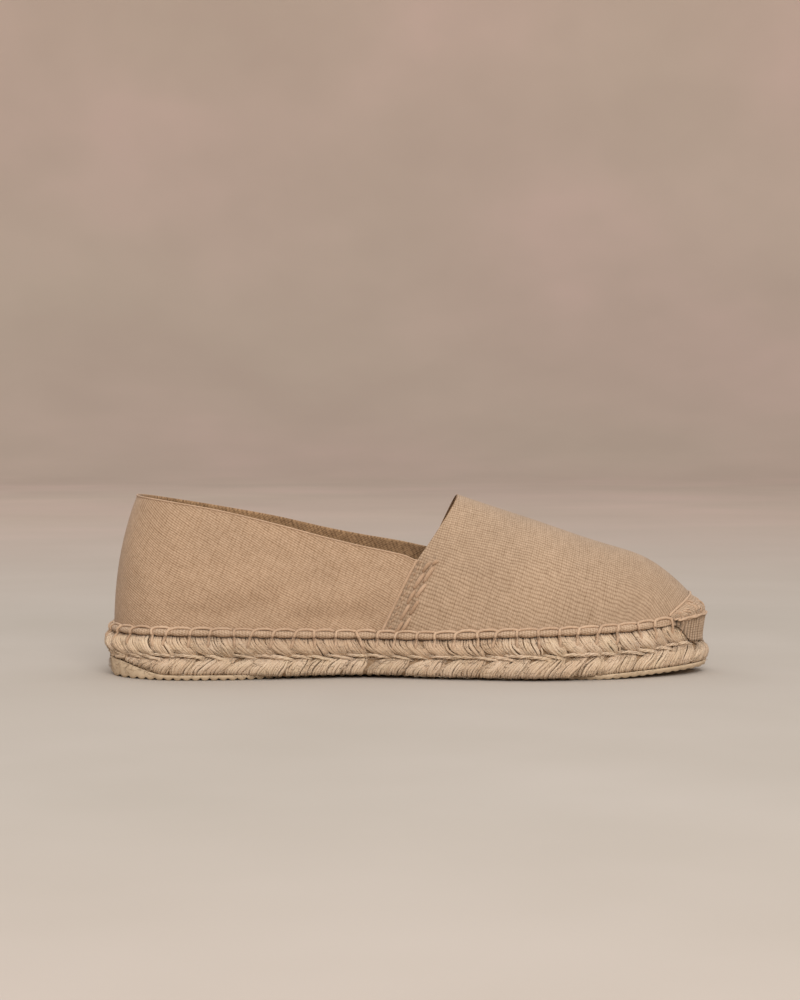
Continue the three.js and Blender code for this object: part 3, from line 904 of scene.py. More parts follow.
@dataclass
class CanvasUpper:
    """Vamp and quarter: outer canvas, folded edge and lining as one closed shell."""

    vamp_steps: int = 118
    quarter_steps: int = 92
    rows: int = 64
    wall: float = 0.8
    fold_steps: int = 6
    inner_rows: int = 26
    cord_pitch: float = 1.64  # between the thick threads of the cloth
    thread_pitch: float = 0.93  # between the fine threads that cross them
    ridge_lean: float = math.radians(20.5)
    ridge_high: float = 109.0
    quarter_cord_lean: float = math.radians(22)
    quarter_thread_lean: float = math.radians(60)
    # Distance from the ridge, depth of painted shade and number of pits of each stitched line.
    seam_pits: tuple[tuple[float, float, int], ...] = ((1.2, 0.4, 13), (4.4, 0.35, 10), (7.7, 0.3, 5))
    pit_width: float = 0.9
    weave_start: float = -60.0  # where the vamp's threads are counted from
    ridge_samples: int = 400
    girth_samples: int = 24
    toe_weave: tuple[float, float] = (95, 125)  # here the cords turn to follow the toe
    folds: tuple[Fold, ...] = (
        Fold(-1, (-92, 26), (-62, 33), 6, -1.3),
        Fold(-1, (-100, 36), (-64, 45), 8, 0.9),
        Fold(-1, (-52, 23), (-22, 27), 6, -1.3),
        Fold(-1, (-46, 33), (-14, 38), 7, 0.8),
        Fold(-1, (-112, 62), (-103, 32), 9, -1.0),
        Fold(-1, (-60, 56), (-30, 46), 9, -0.6),
        Fold(-1, (60, 24), (96, 27), 6, -0.7),
        Fold(-1, (14, 24), (40, 36), 9, -0.6),
        Fold(1, (-84, 30), (-58, 36), 8, -0.8),
        Fold(1, (-60, 50), (-30, 44), 9, 0.6),
        Fold(1, (20, 32), (58, 28), 9, -0.6),
    )

    def columns(self) -> tuple[Array, Array, Array]:
        """Foot and edge of each column once round the shoe, and its part.

        Returns:
            Feet, edges, and for each step whether it belongs to the vamp.
        """
        feet, edges = {}, {}
        for side in (1, -1):
            seam = LAST.foot_angle(LAST.seam(side).foot_x)
            vamp, quarter = (0, seam, self.vamp_steps), (seam, math.pi, self.quarter_steps)
            feet[side] = np.concatenate([LAST.foot_line(side, *vamp), LAST.foot_line(side, *quarter)[1:]])
            throat, topline = LAST.throat_line(side, self.vamp_steps), LAST.topline(side, self.quarter_steps)
            edges[side] = np.concatenate([throat, topline[1:]])
        ring = [np.concatenate([part[1], part[-1][-2::-1]]) for part in (feet, edges)]
        step = np.arange(len(ring[0]) - 1)
        return *ring, (step < self.vamp_steps) | (step >= len(step) - self.vamp_steps)

    def profile(self) -> Array:
        """Rows once round the shell's cross-section: share of the way up, and how far in from the form."""
        half = self.wall / 2
        turn = np.linspace(0, math.pi, self.fold_steps + 1)[1:-1]
        rows = [(-1.0, -0.5)]
        rows += [(share, 0.0) for share in np.linspace(0, 1, self.rows)]
        rows += [(1 + 0.012 * math.sin(t), half * (math.cos(t) - 1)) for t in turn]
        rows += [(share, -self.wall) for share in np.linspace(1, 0, self.inner_rows)]
        rows += [(-1.0, -self.wall)]
        return np.array(rows)

    def weave(self, flat: Array, vamp: Array, run: Array) -> Array:
        """UV of the canvas in threads.

        Args:
            flat: Points on the outer face.
            vamp: Whether each point belongs to the vamp.
            run: Distance of its column from the heel, along the foot.

        Returns:
            Warp and weft count of each point.
        """
        x, z = flat[:, 0], flat[:, 2]
        bend = np.linspace(0, math.pi / 2, self.ridge_samples)
        ridge_x = self.weave_start + (LAST.canvas_tip - 0.02 - self.weave_start) * np.sin(bend)
        _, foot, height = LAST.section(ridge_x, 0)
        ridge = np.stack([ridge_x, foot + height], axis=1)
        along = unit(np.gradient(ridge, axis=0))
        ridge_run = lengths_along(ridge)
        ahead = flat[:, [0, 2]] @ along.T - np.sum(ridge * along, axis=1)
        nearest = np.argmax(ahead < 0, axis=1)
        nearest[~(ahead < 0).any(axis=1)] = len(ridge) - 1
        warp = ridge_run[nearest] + np.take_along_axis(ahead, nearest[:, None], 1)[:, 0]
        lean = along[nearest, 0]
        _, foot, height = LAST.section(x, 0)
        top = foot + height
        girth, previous = np.zeros(len(x)), (np.zeros(len(x)), top)
        for k in range(1, self.girth_samples + 1):
            level = z + (top - z) * math.cos(math.pi / 2 * k / self.girth_samples)
            here = (LAST.half_at(x, level, 0), level)
            girth += np.hypot(here[0] - previous[0], (here[1] - previous[1]) * lean)
            previous = here
        side = np.sign(flat[:, 1] - LAST.centre.at(x))
        level = (z - foot) / np.maximum(height, TINY)
        plane = self.ridge_high - x * math.sin(self.ridge_lean) - z * math.cos(self.ridge_lean)
        girth += (plane - girth) * ramp(level, 0.9, 0.45) * (1 - ramp(x, *self.toe_weave))
        front = np.stack([girth * side / self.cord_pitch, warp / self.thread_pitch], axis=1)
        cord, thread = self.quarter_cord_lean, self.quarter_thread_lean
        warp = (run * math.cos(cord) - z * math.sin(cord)) / self.cord_pitch
        weft = (run * math.cos(thread) + z * math.sin(thread)) / self.thread_pitch
        return np.where(vamp[:, None], front, np.stack([warp, weft], axis=1))

    def seam_shade(self, points: Array) -> Array:
        """Painted shade beside the side seams, in the pits where the needle pulls the canvas in."""
        shade = np.zeros(len(points))
        for side in (1, -1):
            facing = (points[:, 1] - LAST.centre.at(points[:, 0])) * side > 0
            for shift, depth, pits in self.seam_pits:
                line = SideSeams().line(side, shift)[:, [0, 2]]
                away = np.linalg.norm(points[:, None, [0, 2]] - line[None], axis=2)
                pit = 0.5 + 0.5 * np.cos(2 * math.pi * pits * away.argmin(axis=1) / len(line))
                near = np.exp(-((away.min(axis=1) / self.pit_width) ** 2))
                shade = np.maximum(shade, facing * depth * pit * near)
        return shade

    def build(self, palette: Palette) -> Piece:
        """Builds the shell.

        Args:
            palette: The shoe's materials.

        Returns:
            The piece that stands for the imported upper.
        """
        feet, edges, vamp_step = self.columns()
        profile = self.profile()
        bm, column, row = grid(len(feet) - 1, len(profile))
        share, grow = profile[row % len(profile)].T
        low = feet.copy()
        low[:, 2] += LAST.hem_high
        towards = low[column] + (edges - low)[column] * np.clip(share, 0, None)[:, None]
        towards = np.where((share < -0.5)[:, None], feet[column], towards)
        smooth = LAST.on_form(towards, 0)
        fade = np.clip(share * 6, 0, 1) * np.clip((1.02 - share) * 8, 0, 1)
        push = sum(fold.push(smooth) for fold in self.folds) * fade
        move_to(bm, LAST.on_form(towards, grow + push))
        run = lengths_along(feet)
        run = (run - run[self.vamp_steps + self.quarter_steps])[column]
        along = unit(np.gradient(feet, axis=0) * (1, 1, 0))[column]
        run = run + np.sum((smooth - feet[column]) * along, axis=1)
        uv = {v: self.weave(smooth, np.full(len(smooth), v), run).tolist() for v in (True, False)}
        layer = bm.loops.layers.uv.new("UVMap")
        bm.verts.index_update()
        # Painted shade beside the side seams, for the canvas to darken by.
        write_shade(bm, "fold_shade", self.seam_shade(smooth))
        for face in bm.faces:
            vamp = bool(vamp_step[min(int(column[v.index]) for v in face.verts)])
            lining = min(int(row[v.index]) for v in face.verts) > self.rows
            panel = Panel.LINING if lining else Panel.VAMP if vamp else Panel.QUARTER
            face.material_index = panel.value
            for loop in face.loops:
                loop[layer].uv = uv[vamp][loop.vert.index]
        weld(bm)
        piece = finish_piece(bm, "canvas_upper", [palette.vamp, palette.quarter, palette.lining])
        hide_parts("upper")
        return piece


@dataclass
class HemRoll:
    """The rolled hem along the foot of the canvas, pinched by each blanket stitch."""

    steps: int = 1080
    rows: int = 14
    proud: float = 2.1
    pinch: float = 0.3
    stitches: int = 67
    twist: float = 2.6
    thread_pitch: float = 1.3
    threads_round: int = 9
    ring_steps: int = 2000
    nudge: float = 1.5  # distance to either side that gives the direction of the foot
    toe_fade: tuple[float, float] = (98, 110)
    toe_flat: float = 0.95
    deepest: float = -0.9
    waver: float = 0.12
    waver_knots: int = 90

    def foot_ring(self) -> Array:
        """Foot of the canvas once round, from the back of the heel by the inner side."""
        inner = LAST.foot_line(-1, math.pi, 0, self.ring_steps)
        outer = LAST.foot_line(1, 0, math.pi, self.ring_steps)
        return np.concatenate([inner, outer[1:]])

    def place(self, run: Array, turn: Array, swell: Array | float = 0.0) -> tuple[Array, Array]:
        """Points on the roll.

        Args:
            run: Distance along the foot from the back of the heel.
            turn: Angle round the roll: 0 faces outwards, a quarter turn is its top.
            swell: Extra distance outwards.

        Returns:
            The points and the outward plan directions.
        """
        ring = self.foot_ring()
        length = lengths_along(ring)
        at = np.mod(run, length[-1])
        foot = pick(ring, length, at)
        ahead = pick(ring, length, np.mod(at + self.nudge, length[-1]))
        behind = pick(ring, length, np.mod(at - self.nudge, length[-1]))
        along = unit((ahead - behind)[..., :2])
        out = np.stack([along[..., 1], -along[..., 0], np.zeros_like(along[..., 0])], axis=-1)
        fade = 1 - self.toe_flat * ramp(foot[..., 0], *self.toe_fade)
        phase = np.cos(np.pi * run / self.pitch) ** 2
        body = 1 - self.pinch * phase**3
        skin_z = foot[..., 2] + LAST.hem_high / 2
        lift = (LAST.hem_high / 2 * body + swell) * np.sin(turn)
        reach = (self.proud * fade * body + swell) * np.cos(turn)
        skin = LAST.on_form(np.stack([foot[..., 0], foot[..., 1], skin_z + lift], axis=-1).reshape(-1, 3), 0)
        skin = skin.reshape(foot.shape)
        point = skin + out * np.maximum(reach, self.deepest)[..., None]
        point[..., 2] = skin_z + lift
        return point, out

    @property
    def length(self) -> float:
        """Length of the hem."""
        return float(lengths_along(self.foot_ring())[-1])

    @property
    def pitch(self) -> float:
        """Distance between two blanket stitches."""
        return self.length / self.stitches

    def build(self, palette: Palette) -> Piece:
        """Builds the roll as a closed ring.

        Args:
            palette: The shoe's materials.

        Returns:
            The hem.
        """
        bm, column, row = grid(self.steps, self.rows)
        run = column / self.steps * self.length
        turn = 2 * np.pi * row / self.rows
        knots = np.linspace(0, self.length, self.waver_knots)
        heights = np.random.default_rng(11).normal(0, self.waver, self.waver_knots)
        points, _ = self.place(run, turn, np.interp(run, knots, heights, period=self.length))
        move_to(bm, points)
        lay_uv(bm, run / self.thread_pitch, row / self.rows * self.threads_round + run / self.twist)
        weld(bm)
        return finish_piece(bm, "hem_roll", [palette.rolled])


# ---- Sole ----


class Row(Enum):
    """The two rows of the plait, named as their pieces are."""

    UPPER = "braid_upper_row"
    LOWER = "braid_lower_row"


@dataclass
class JuteBraid:
    """The plaited jute edge: two rows of slanted yarn bundles that meet along a wavy cord."""

    pitch_wanted: float = 8.6
    yarns: int = 8
    points: int = 9
    crease: float = 0.53
    yarn: float = 0.68
    lean_upper: float = 8.5
    lean_lower: float = 8.0
    seed: int = 5
    toe_drawn: float = 3.2  # how far the upper row stays back under the toe's canvas
    toe_drawn_ends: tuple[float, float] = (104, 118)
    waist_low: float = 1.3
    rim_low: float = 2.45
    # The upper row is painted darker at the waist as the shade under the overhanging canvas: where this
    # starts and ends, and how much.
    shaded_from: tuple[float, float] = (-95, -55)
    shaded_to: tuple[float, float] = (0, 60)
    waist_shade: float = 0.75
    sunk: float = -1.55
    stray_share: float = 0.16
    cord_points: int = 13
    cord_strands: int = 3
    cord_turns: float = 1.4
    cord_radius: float = 0.5
    fibres: int = 3600
    fibre_radius: float = 0.09
    fibre_points: int = 5
    core_steps: int = 480
    core_proud: float = -1.75
    core_floor: float = 2.6
    core_levels: tuple[float, ...] = (0, 0, 0.06, 0.2, 0.38, 0.53, 0.65, 0.82, 0.94, 1, 1)
    edge: Rail = Rail(
        (
            (0, 1.8), (0.06, 0.6), (0.2, 0), (0.38, 0.2), (0.53, 1.4),
            (0.65, 0.3), (0.82, 0), (0.94, 1), (1, 2.8),
        )
    )

    @property
    def bundles(self) -> int:
        """How many bundles go once round."""
        return round(WALK.length / self.pitch_wanted)

    @property
    def pitch(self) -> float:
        """Distance between two bundles."""
        return WALK.length / self.bundles

    def surface(self, run: Array, level: Array, proud: Array) -> tuple[Array, Array]:
        """Points on the edge of the braid.

        Args:
            run: Distance along the outline.
            level: Height as a share of the jute's, 0 at the floor.
            proud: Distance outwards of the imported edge.

        Returns:
            The points and outward directions.
        """
        plan, _ = WALK.base(run)
        drawn = self.toe_drawn * ramp(plan[..., 0], *self.toe_drawn_ends) * ramp(level, 0.46, 0.56)
        tucked = LAST.heel_in(plan[..., 0]) * (1 - ramp(level, 0.4, 0.58))
        inset = np.maximum(self.edge.at(level) + tucked, drawn) - proud

        def height(x: Array) -> Array:
            low = LAST.underside(x) + LAST.gap
            return low + (LAST.jute_top.at(x) - low) * level

        return WALK.place(run, inset, height)

    def floor_level(self, run: Array) -> Array:
        """Level of the lowest yarns: above the rubber's rim where it shows, else near the floor."""
        x = WALK.base(run)[0][..., 0]
        tucked = LAST.waist(x)
        rim = self.rim_low + LAST.lip_rise(x)
        tall = LAST.jute_top.at(x) - LAST.underside(x) - LAST.gap
        return ((1 - tucked) * rim + self.waist_low * tucked) / tall

    def row(self, which: Row, rng: random.Random) -> Strands:
        """Lays all yarns of one row.

        Args:
            which: The row.
            rng: Source of the small irregularities.

        Returns:
            The yarns.
        """
        made = Strands(sides=5)
        upper = which is Row.UPPER
        narrowing = 0.5 if upper else 0.35
        t = np.linspace(0, 1, self.points)
        gather = (0.82 + 0.18 * np.sin(math.pi * t)) * (1 - narrowing * ramp(t, 0.5, 1))
        lens = np.sin(math.pi * np.clip(t * 0.92 + 0.1, 0, 1)) ** 0.8
        for bundle in range(self.bundles):
            base = bundle * self.pitch + rng.gauss(0, 0.7)
            lean = (self.lean_upper if upper else self.lean_lower) * rng.uniform(0.6, 1.2)
            fat = rng.uniform(0.6, 1.35)
            x = float(WALK.base(np.array([base]))[0][0, 0])
            # Painted shade: the upper row's bundles are darker at the waist, under the overhanging canvas.
            waist = float(ramp(x, *self.shaded_from) * (1 - ramp(x, *self.shaded_to))) if upper else 0.0
            shade = rng.uniform(0.35, 0.8) - self.waist_shade * waist
            for k in range(self.yarns):
                across = (k + 0.5) / self.yarns - 0.5
                crown = 1 - (2 * across) ** 2
                stray = rng.gauss(0, 0.9) if rng.random() < self.stray_share else 0.0
                run = base + across * self.pitch * 1.15 * gather + lean * t**1.5
                run = run + rng.gauss(0, 0.15) + stray * t
                run = run + rng.gauss(0, 0.16) * np.sin(rng.uniform(4, 9) * t + rng.uniform(0, 6))
                proud = self.sunk + (0.45 + 1.25 * fat * crown) * lens + abs(stray) * 0.3
                if upper:
                    level = 1.0 - (1.0 - self.crease + 0.02) * t**0.85 + rng.gauss(0, 0.006)
                else:
                    low = self.floor_level(run)
                    level = low + (self.crease - 0.01 - low) * t**0.85
                path, out = self.surface(run, level, proud)
                thick = self.yarn * rng.uniform(0.75, 1.2) * (1 - 0.35 * t**3)
                # Yarns at a bundle's edges are painted darker, as shade in the gaps between bundles.
                tone = shade + rng.gauss(0, 0.14) - 0.2 * (2 * across) ** 4
                made.lay(path, out, thick, min(max(tone, 0), 1))
        return made

    def cord(self, rng: random.Random) -> Strands:
        """Lays the strands that cross from the upper row into the crease, one after the other."""
        made = Strands(sides=6)
        t = np.linspace(0, 1, self.cord_points)
        arch = np.sin(math.pi * t)
        for bundle in range(self.bundles):
            start = bundle * self.pitch + self.lean_upper * 0.7 + rng.gauss(0, 1.3)
            reach = self.pitch * rng.uniform(1.0, 2.0)
            drop = rng.uniform(0.02, 0.17)
            shade = rng.uniform(0.5, 0.9)
            for k in range(self.cord_strands):
                wind = 2 * math.pi * (t * self.cord_turns + k / self.cord_strands)
                level = self.crease + 0.055 - drop * t + 0.022 * np.sin(wind) + 0.02 * arch
                proud = -1.5 + 1.7 * arch**0.6 + 0.35 * np.cos(wind)
                path, out = self.surface(start + reach * t, level, proud)
                thick = self.cord_radius * rng.uniform(0.7, 1.25) * (0.45 + 0.55 * arch**0.5)
                made.lay(path, out, thick, shade + rng.uniform(-0.1, 0.1))
        return made

    def fuzz(self, rng: random.Random) -> Strands:
        """Lays loose fibres that stand off the braid."""
        made = Strands(sides=3)
        t = np.linspace(0, 1, self.fibre_points)
        for _ in range(self.fibres):
            start = rng.uniform(0, WALK.length)
            upper = rng.random() < 0.45
            low = rng.uniform(0.56, 0.98) if upper else rng.uniform(0.06, 0.5)
            reach = rng.uniform(-1.5, 5.5)
            rise = (-0.1 if upper else 0.1) * rng.uniform(-0.8, 2.2)
            level = np.clip(low + rise * t, 0.03, 1)
            stand = rng.uniform(0.3, 1.3)
            run = start + reach * t + rng.uniform(-1.2, 1.2) * t**2
            path, out = self.surface(run, level, -0.2 + stand * np.sin(math.pi * t * rng.uniform(0.5, 1)))
            made.lay(path, out, self.fibre_radius * (1 - 0.6 * t), rng.uniform(0.3, 1))
        return made

    def core(self, palette: Palette) -> Piece:
        """Builds the body of the sole that the yarns lie on, closed above and below."""
        levels = np.array(self.core_levels, float)
        bm, column, row = grid(self.core_steps, len(levels) - 1)
        points, _ = self.surface(column / self.core_steps * WALK.length, levels[row], self.core_proud)
        spine = LAST.spine(points[:, 0])
        low, high = LAST.underside(spine[:, 0]) + self.core_floor, LAST.jute_top.at(spine[:, 0])
        middle = np.column_stack([spine, np.where(row == 0, low, high)])
        ends = (row == 0) | (row == len(levels) - 1)
        points = np.where(ends[:, None], middle + (points - middle) * NARROWEST, points)
        lowest = np.maximum(points[:, 2], LAST.underside(points[:, 0]) + self.core_floor)
        points[:, 2] = np.where(row == 1, lowest, points[:, 2])
        move_to(bm, points)
        weld(bm, holes=0)
        piece = finish_piece(bm, "braid_core", [palette.core])
        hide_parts("jute_sole")
        return piece

    def build(self, palette: Palette) -> list[Piece]:
        """Builds the braid.

        Args:
            palette: The shoe's materials.

        Returns:
            Both rows, the cord and the loose fibres.
        """
        rng = random.Random(self.seed)
        self.core(palette)
        sets = {row.value: self.row(row, rng) for row in Row}
        sets |= {"braid_cord": self.cord(rng), "jute_fibres": self.fuzz(rng)}
        return [finish_piece(made.mesh(), name, [palette.jute]) for name, made in sets.items()]


@dataclass
class RubberOutsole:
    """Thin moulded outsole with ribs across its underside and a lip behind the heel."""

    steps: int = 960
    thick: float = 2.2
    rim: float = 2.35
    rim_width: float = 1.2
    tuck: float = 6.0
    rib_pitch: float = 4.0
    rib_deep: float = 1.15
    rib_power: float = 1.3
    rib_fade: tuple[float, float] = (30, 70)
    spans: tuple[float, ...] = (NARROWEST, 0.2, 0.4, 0.6, 0.8, 0.94)

    def inset(self, run: Array) -> Array:
        """How far the rubber stays back from the outline."""
        x = WALK.base(run)[0][..., 0]
        return self.tuck * LAST.waist(x) + LAST.heel_in(x)

    def ribbed(self, x: Array) -> Array:
        """Height of the underside: rounded ribs that stand on the floor, shallower at the toe."""
        wave = np.abs(np.sin(np.pi * x / self.rib_pitch))
        deep = self.rib_deep * (1 - 0.5 * ramp(x, *self.rib_fade))
        return LAST.underside(x) + deep * (1 - wave) ** self.rib_power

    def above(self, rise: float) -> Callable[[Array], Array]:
        """Height that stays a distance above the underside."""
        return lambda x: LAST.underside(x) + rise

    def rim_top(self, x: Array) -> Array:
        """Height of the rim, and of the lip behind the heel."""
        return LAST.underside(x) + self.rim + LAST.lip_rise(x)

    def shrunk(self, points: Array, share: float, height: Callable[[Array], Array]) -> Array:
        """A ring drawn in towards the sole's middle line, at its own height."""
        middle = LAST.spine(points[:, 0])
        flat = middle + (points[:, :2] - middle) * share
        return np.column_stack([flat, height(flat[:, 0])])

    def build(self, palette: Palette) -> Piece:
        """Builds the outsole.

        Args:
            palette: The shoe's materials.

        Returns:
            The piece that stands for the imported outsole.
        """
        under, floor, foot = self.ribbed, self.above(self.thick), self.above(self.rib_deep + 0.15)
        bm, column, row = grid(self.steps, 2 * len(self.spans) + 6)
        run = column / self.steps * WALK.length
        tuck = self.inset(run)
        # Inset of each ring from the rubber's edge and its height, from the tread up and into the hollow.
        edge, *wall, hollow = (
            WALK.place(run, tuck + extra, height)[0]
            for extra, height in (
                (1.3, under),
                (0.75, lambda x: under(x) + 0.12),
                (0.35, foot),
                (0.0, lambda x: self.rim_top(x) - 0.25),
                (0.3, self.rim_top),
                (0.8, self.rim_top),
                (self.rim_width, floor),
            )
        )
        rings = [self.shrunk(edge, share, under) for share in self.spans] + [edge, *wall, hollow]
        rings += [self.shrunk(hollow, share, floor) for share in reversed(self.spans)]
        move_to(bm, np.array(rings)[row, np.arange(len(row))])
        lay_uv(bm, run, row)
        weld(bm, holes=0)
        piece = finish_piece(bm, "ribbed_rubber_outsole", [palette.rubber])
        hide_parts("rubber_outsole")
        return piece


# ---- Thread work ----


@dataclass
class BlanketStitch:
    """The thread that binds the hem to the jute: a line along the hem and a leg at each stitch."""

    hem: HemRoll
    thread: float = 0.67
    root_points: int = 5
    leg_points: int = 10
    line_points: int = 10
    leg_foot: float = -0.75  # angle round the hem at which a leg starts
    line_turn: float = 1.4  # and at which the line runs along the hem's top
    step: float = 0.9  # how far a leg runs on at its top

    def build(self, palette: Palette) -> Piece:
        """Builds all stitches.

        Args:
            palette: The shoe's materials.

        Returns:
            The stitches as one piece.
        """
        rng = random.Random(23)
        made = Strands(sides=7)
        braid = JuteBraid()
        up = np.linspace(0, 1, self.leg_points)
        line = np.linspace(0, 1, self.line_points)
        root = np.linspace(0, 1, self.root_points, endpoint=False)
        for k in range(self.hem.stitches):
            at = (k + rng.gauss(0, 0.05)) * self.hem.pitch
            slant = rng.gauss(0.3, 0.9)
            leg = at + slant * (up - 1) + self.step * up**4
            run = np.concatenate([leg, at + self.step + (self.hem.pitch - 0.5) * line[1:]])
            climb = self.leg_foot + (self.line_turn - self.leg_foot) * up
            turn = np.concatenate([climb, np.full(len(line) - 1, self.line_turn)])
            slack = rng.uniform(0.0, 0.35)
            swell = 0.5 + slack * np.concatenate([0 * up, np.sin(math.pi * line[1:])])
            path, out = self.hem.place(run, turn, swell)
            walk = WALK.run_beside(path[0]) - slant * 0.3 - 0.8 * slant * (1 - root)
            sunk, sunk_out = braid.surface(walk, 0.74 + 0.2 * root, -1.2 + 2.4 * root**0.7)
            drawn = 1 - 0.1 * np.linspace(0, 1, len(root) + len(path))
            made.lay(
                np.concatenate([sunk, path]),
                np.concatenate([sunk_out, out]),
                self.thread * drawn * rng.uniform(0.9, 1.1),
                rng.uniform(0.35, 0.75),
            )
        return finish_piece(made.mesh(), "blanket_stitch", [palette.thread])


@dataclass
class SideSeams:
    """Both side seams: a folded ridge, needle stitches beside it and two columns of long slanted stitches."""

    ridge: float = 0.68
    points: int = 40
    edge_steps: int = 160
    edge_radius: float = 0.4
    stitch_points: int = 9
    needle_count: int = 12
    needle_shift: float = 2.4
    needle_radius: float = 0.45
    long_count: int = 5
    long_lines: tuple[tuple[float, float], ...] = ((6.2, 0.05), (9.2, 0.38))  # shift and start of each column
    long_top: float = 0.93
    buried: float = -0.7
    corner_rise: float = 0.15  # how far a line's top rises with its shift

    def line(self, side: int, shift: float) -> Array:
        """A line parallel to the seam, moved towards the toe along the canvas."""
        seam = LAST.seam(side)
        angle = LAST.foot_angle(seam.foot_x + shift)
        foot = LAST.foot_line(side, angle, angle + 1e-4, 1)[0]
        foot[2] += LAST.hem_high * 0.4
        top = seam.z + shift * self.corner_rise
        corner = LAST.edge_points(side, np.array([seam.x + shift]), np.array([top]))[0]
        return foot + (corner - foot) * np.linspace(0, 1, self.points)[:, None]

    def stitch(self, side: int, shift: float, low: float, high: float, lean: float, lift: float) -> Array:
        """Path of one stitch: it comes out of the canvas, arches over it and goes back in.

        Args:
            side: +1 outer, -1 inner.
            shift: Distance of its line from the ridge.
            low: Where it starts, as a share of the seam.
            high: Where it ends.
            lean: How far it runs towards the toe on its way up.
            lift: How high it stands off the canvas.

        Returns:
            Its points.
        """
        t = np.linspace(0, 1, self.stitch_points)
        base = pick(self.line(side, shift), np.linspace(0, 1, self.points), low + (high - low) * t)
        base[:, 0] += (t - 0.5) * lean
        return LAST.on_form(base, self.buried + (lift - self.buried) * np.sin(math.pi * t) ** 0.6)

    def build(self, palette: Palette) -> list[Piece]:
        """Builds ridge, edges and stitches of both sides.

        Args:
            palette: The shoe's materials.

        Returns:
            The ridges, the folded topline and the stitches.
        """
        rng = random.Random(31)
        ridges, edges, stitches = Strands(sides=8), Strands(sides=6), Strands(sides=7)
        swell = 0.75 + 0.25 * np.sin(math.pi * np.linspace(0, 1, self.stitch_points))
        for side in (1, -1):
            out = np.array([0.0, float(side), 0.25])
            ridges.lay(LAST.on_form(self.line(side, 0.0), 0.12), out, self.ridge, 0.6)
            rim = LAST.topline(side, self.edge_steps) - (0, 0, 0.3)
            edges.lay(LAST.on_form(rim, 0.0), out, self.edge_radius, 0.6)
            for k in range(self.needle_count):
                low = (k + 0.2 + rng.uniform(-0.1, 0.1)) / self.needle_count
                shift = self.needle_shift + rng.gauss(0, 0.15)
                path = self.stitch(side, shift, low, low + 0.5 / self.needle_count, 0.5, 0.2)
                stitches.lay(path, out, self.needle_radius * swell, rng.uniform(0.2, 0.5))
            for shift, offset in self.long_lines:
                for k in range(self.long_count):
                    low = (k + offset + rng.gauss(0, 0.06)) / self.long_count
                    high = min(low + rng.uniform(0.8, 1.0) / self.long_count, self.long_top)
                    beside, lean = shift + rng.gauss(0, 0.2), 1.4 + rng.gauss(0, 0.4)
                    path = self.stitch(side, beside, low, high, lean, 0.55)
                    stitches.lay(path, out, rng.uniform(0.85, 1.05) * swell, rng.uniform(0.2, 0.7))
        sets = {"seam_ridges": ridges, "folded_topline": edges, "seam_stitches": stitches}
        return [finish_piece(made.mesh(), name, [palette.seam]) for name, made in sets.items()]


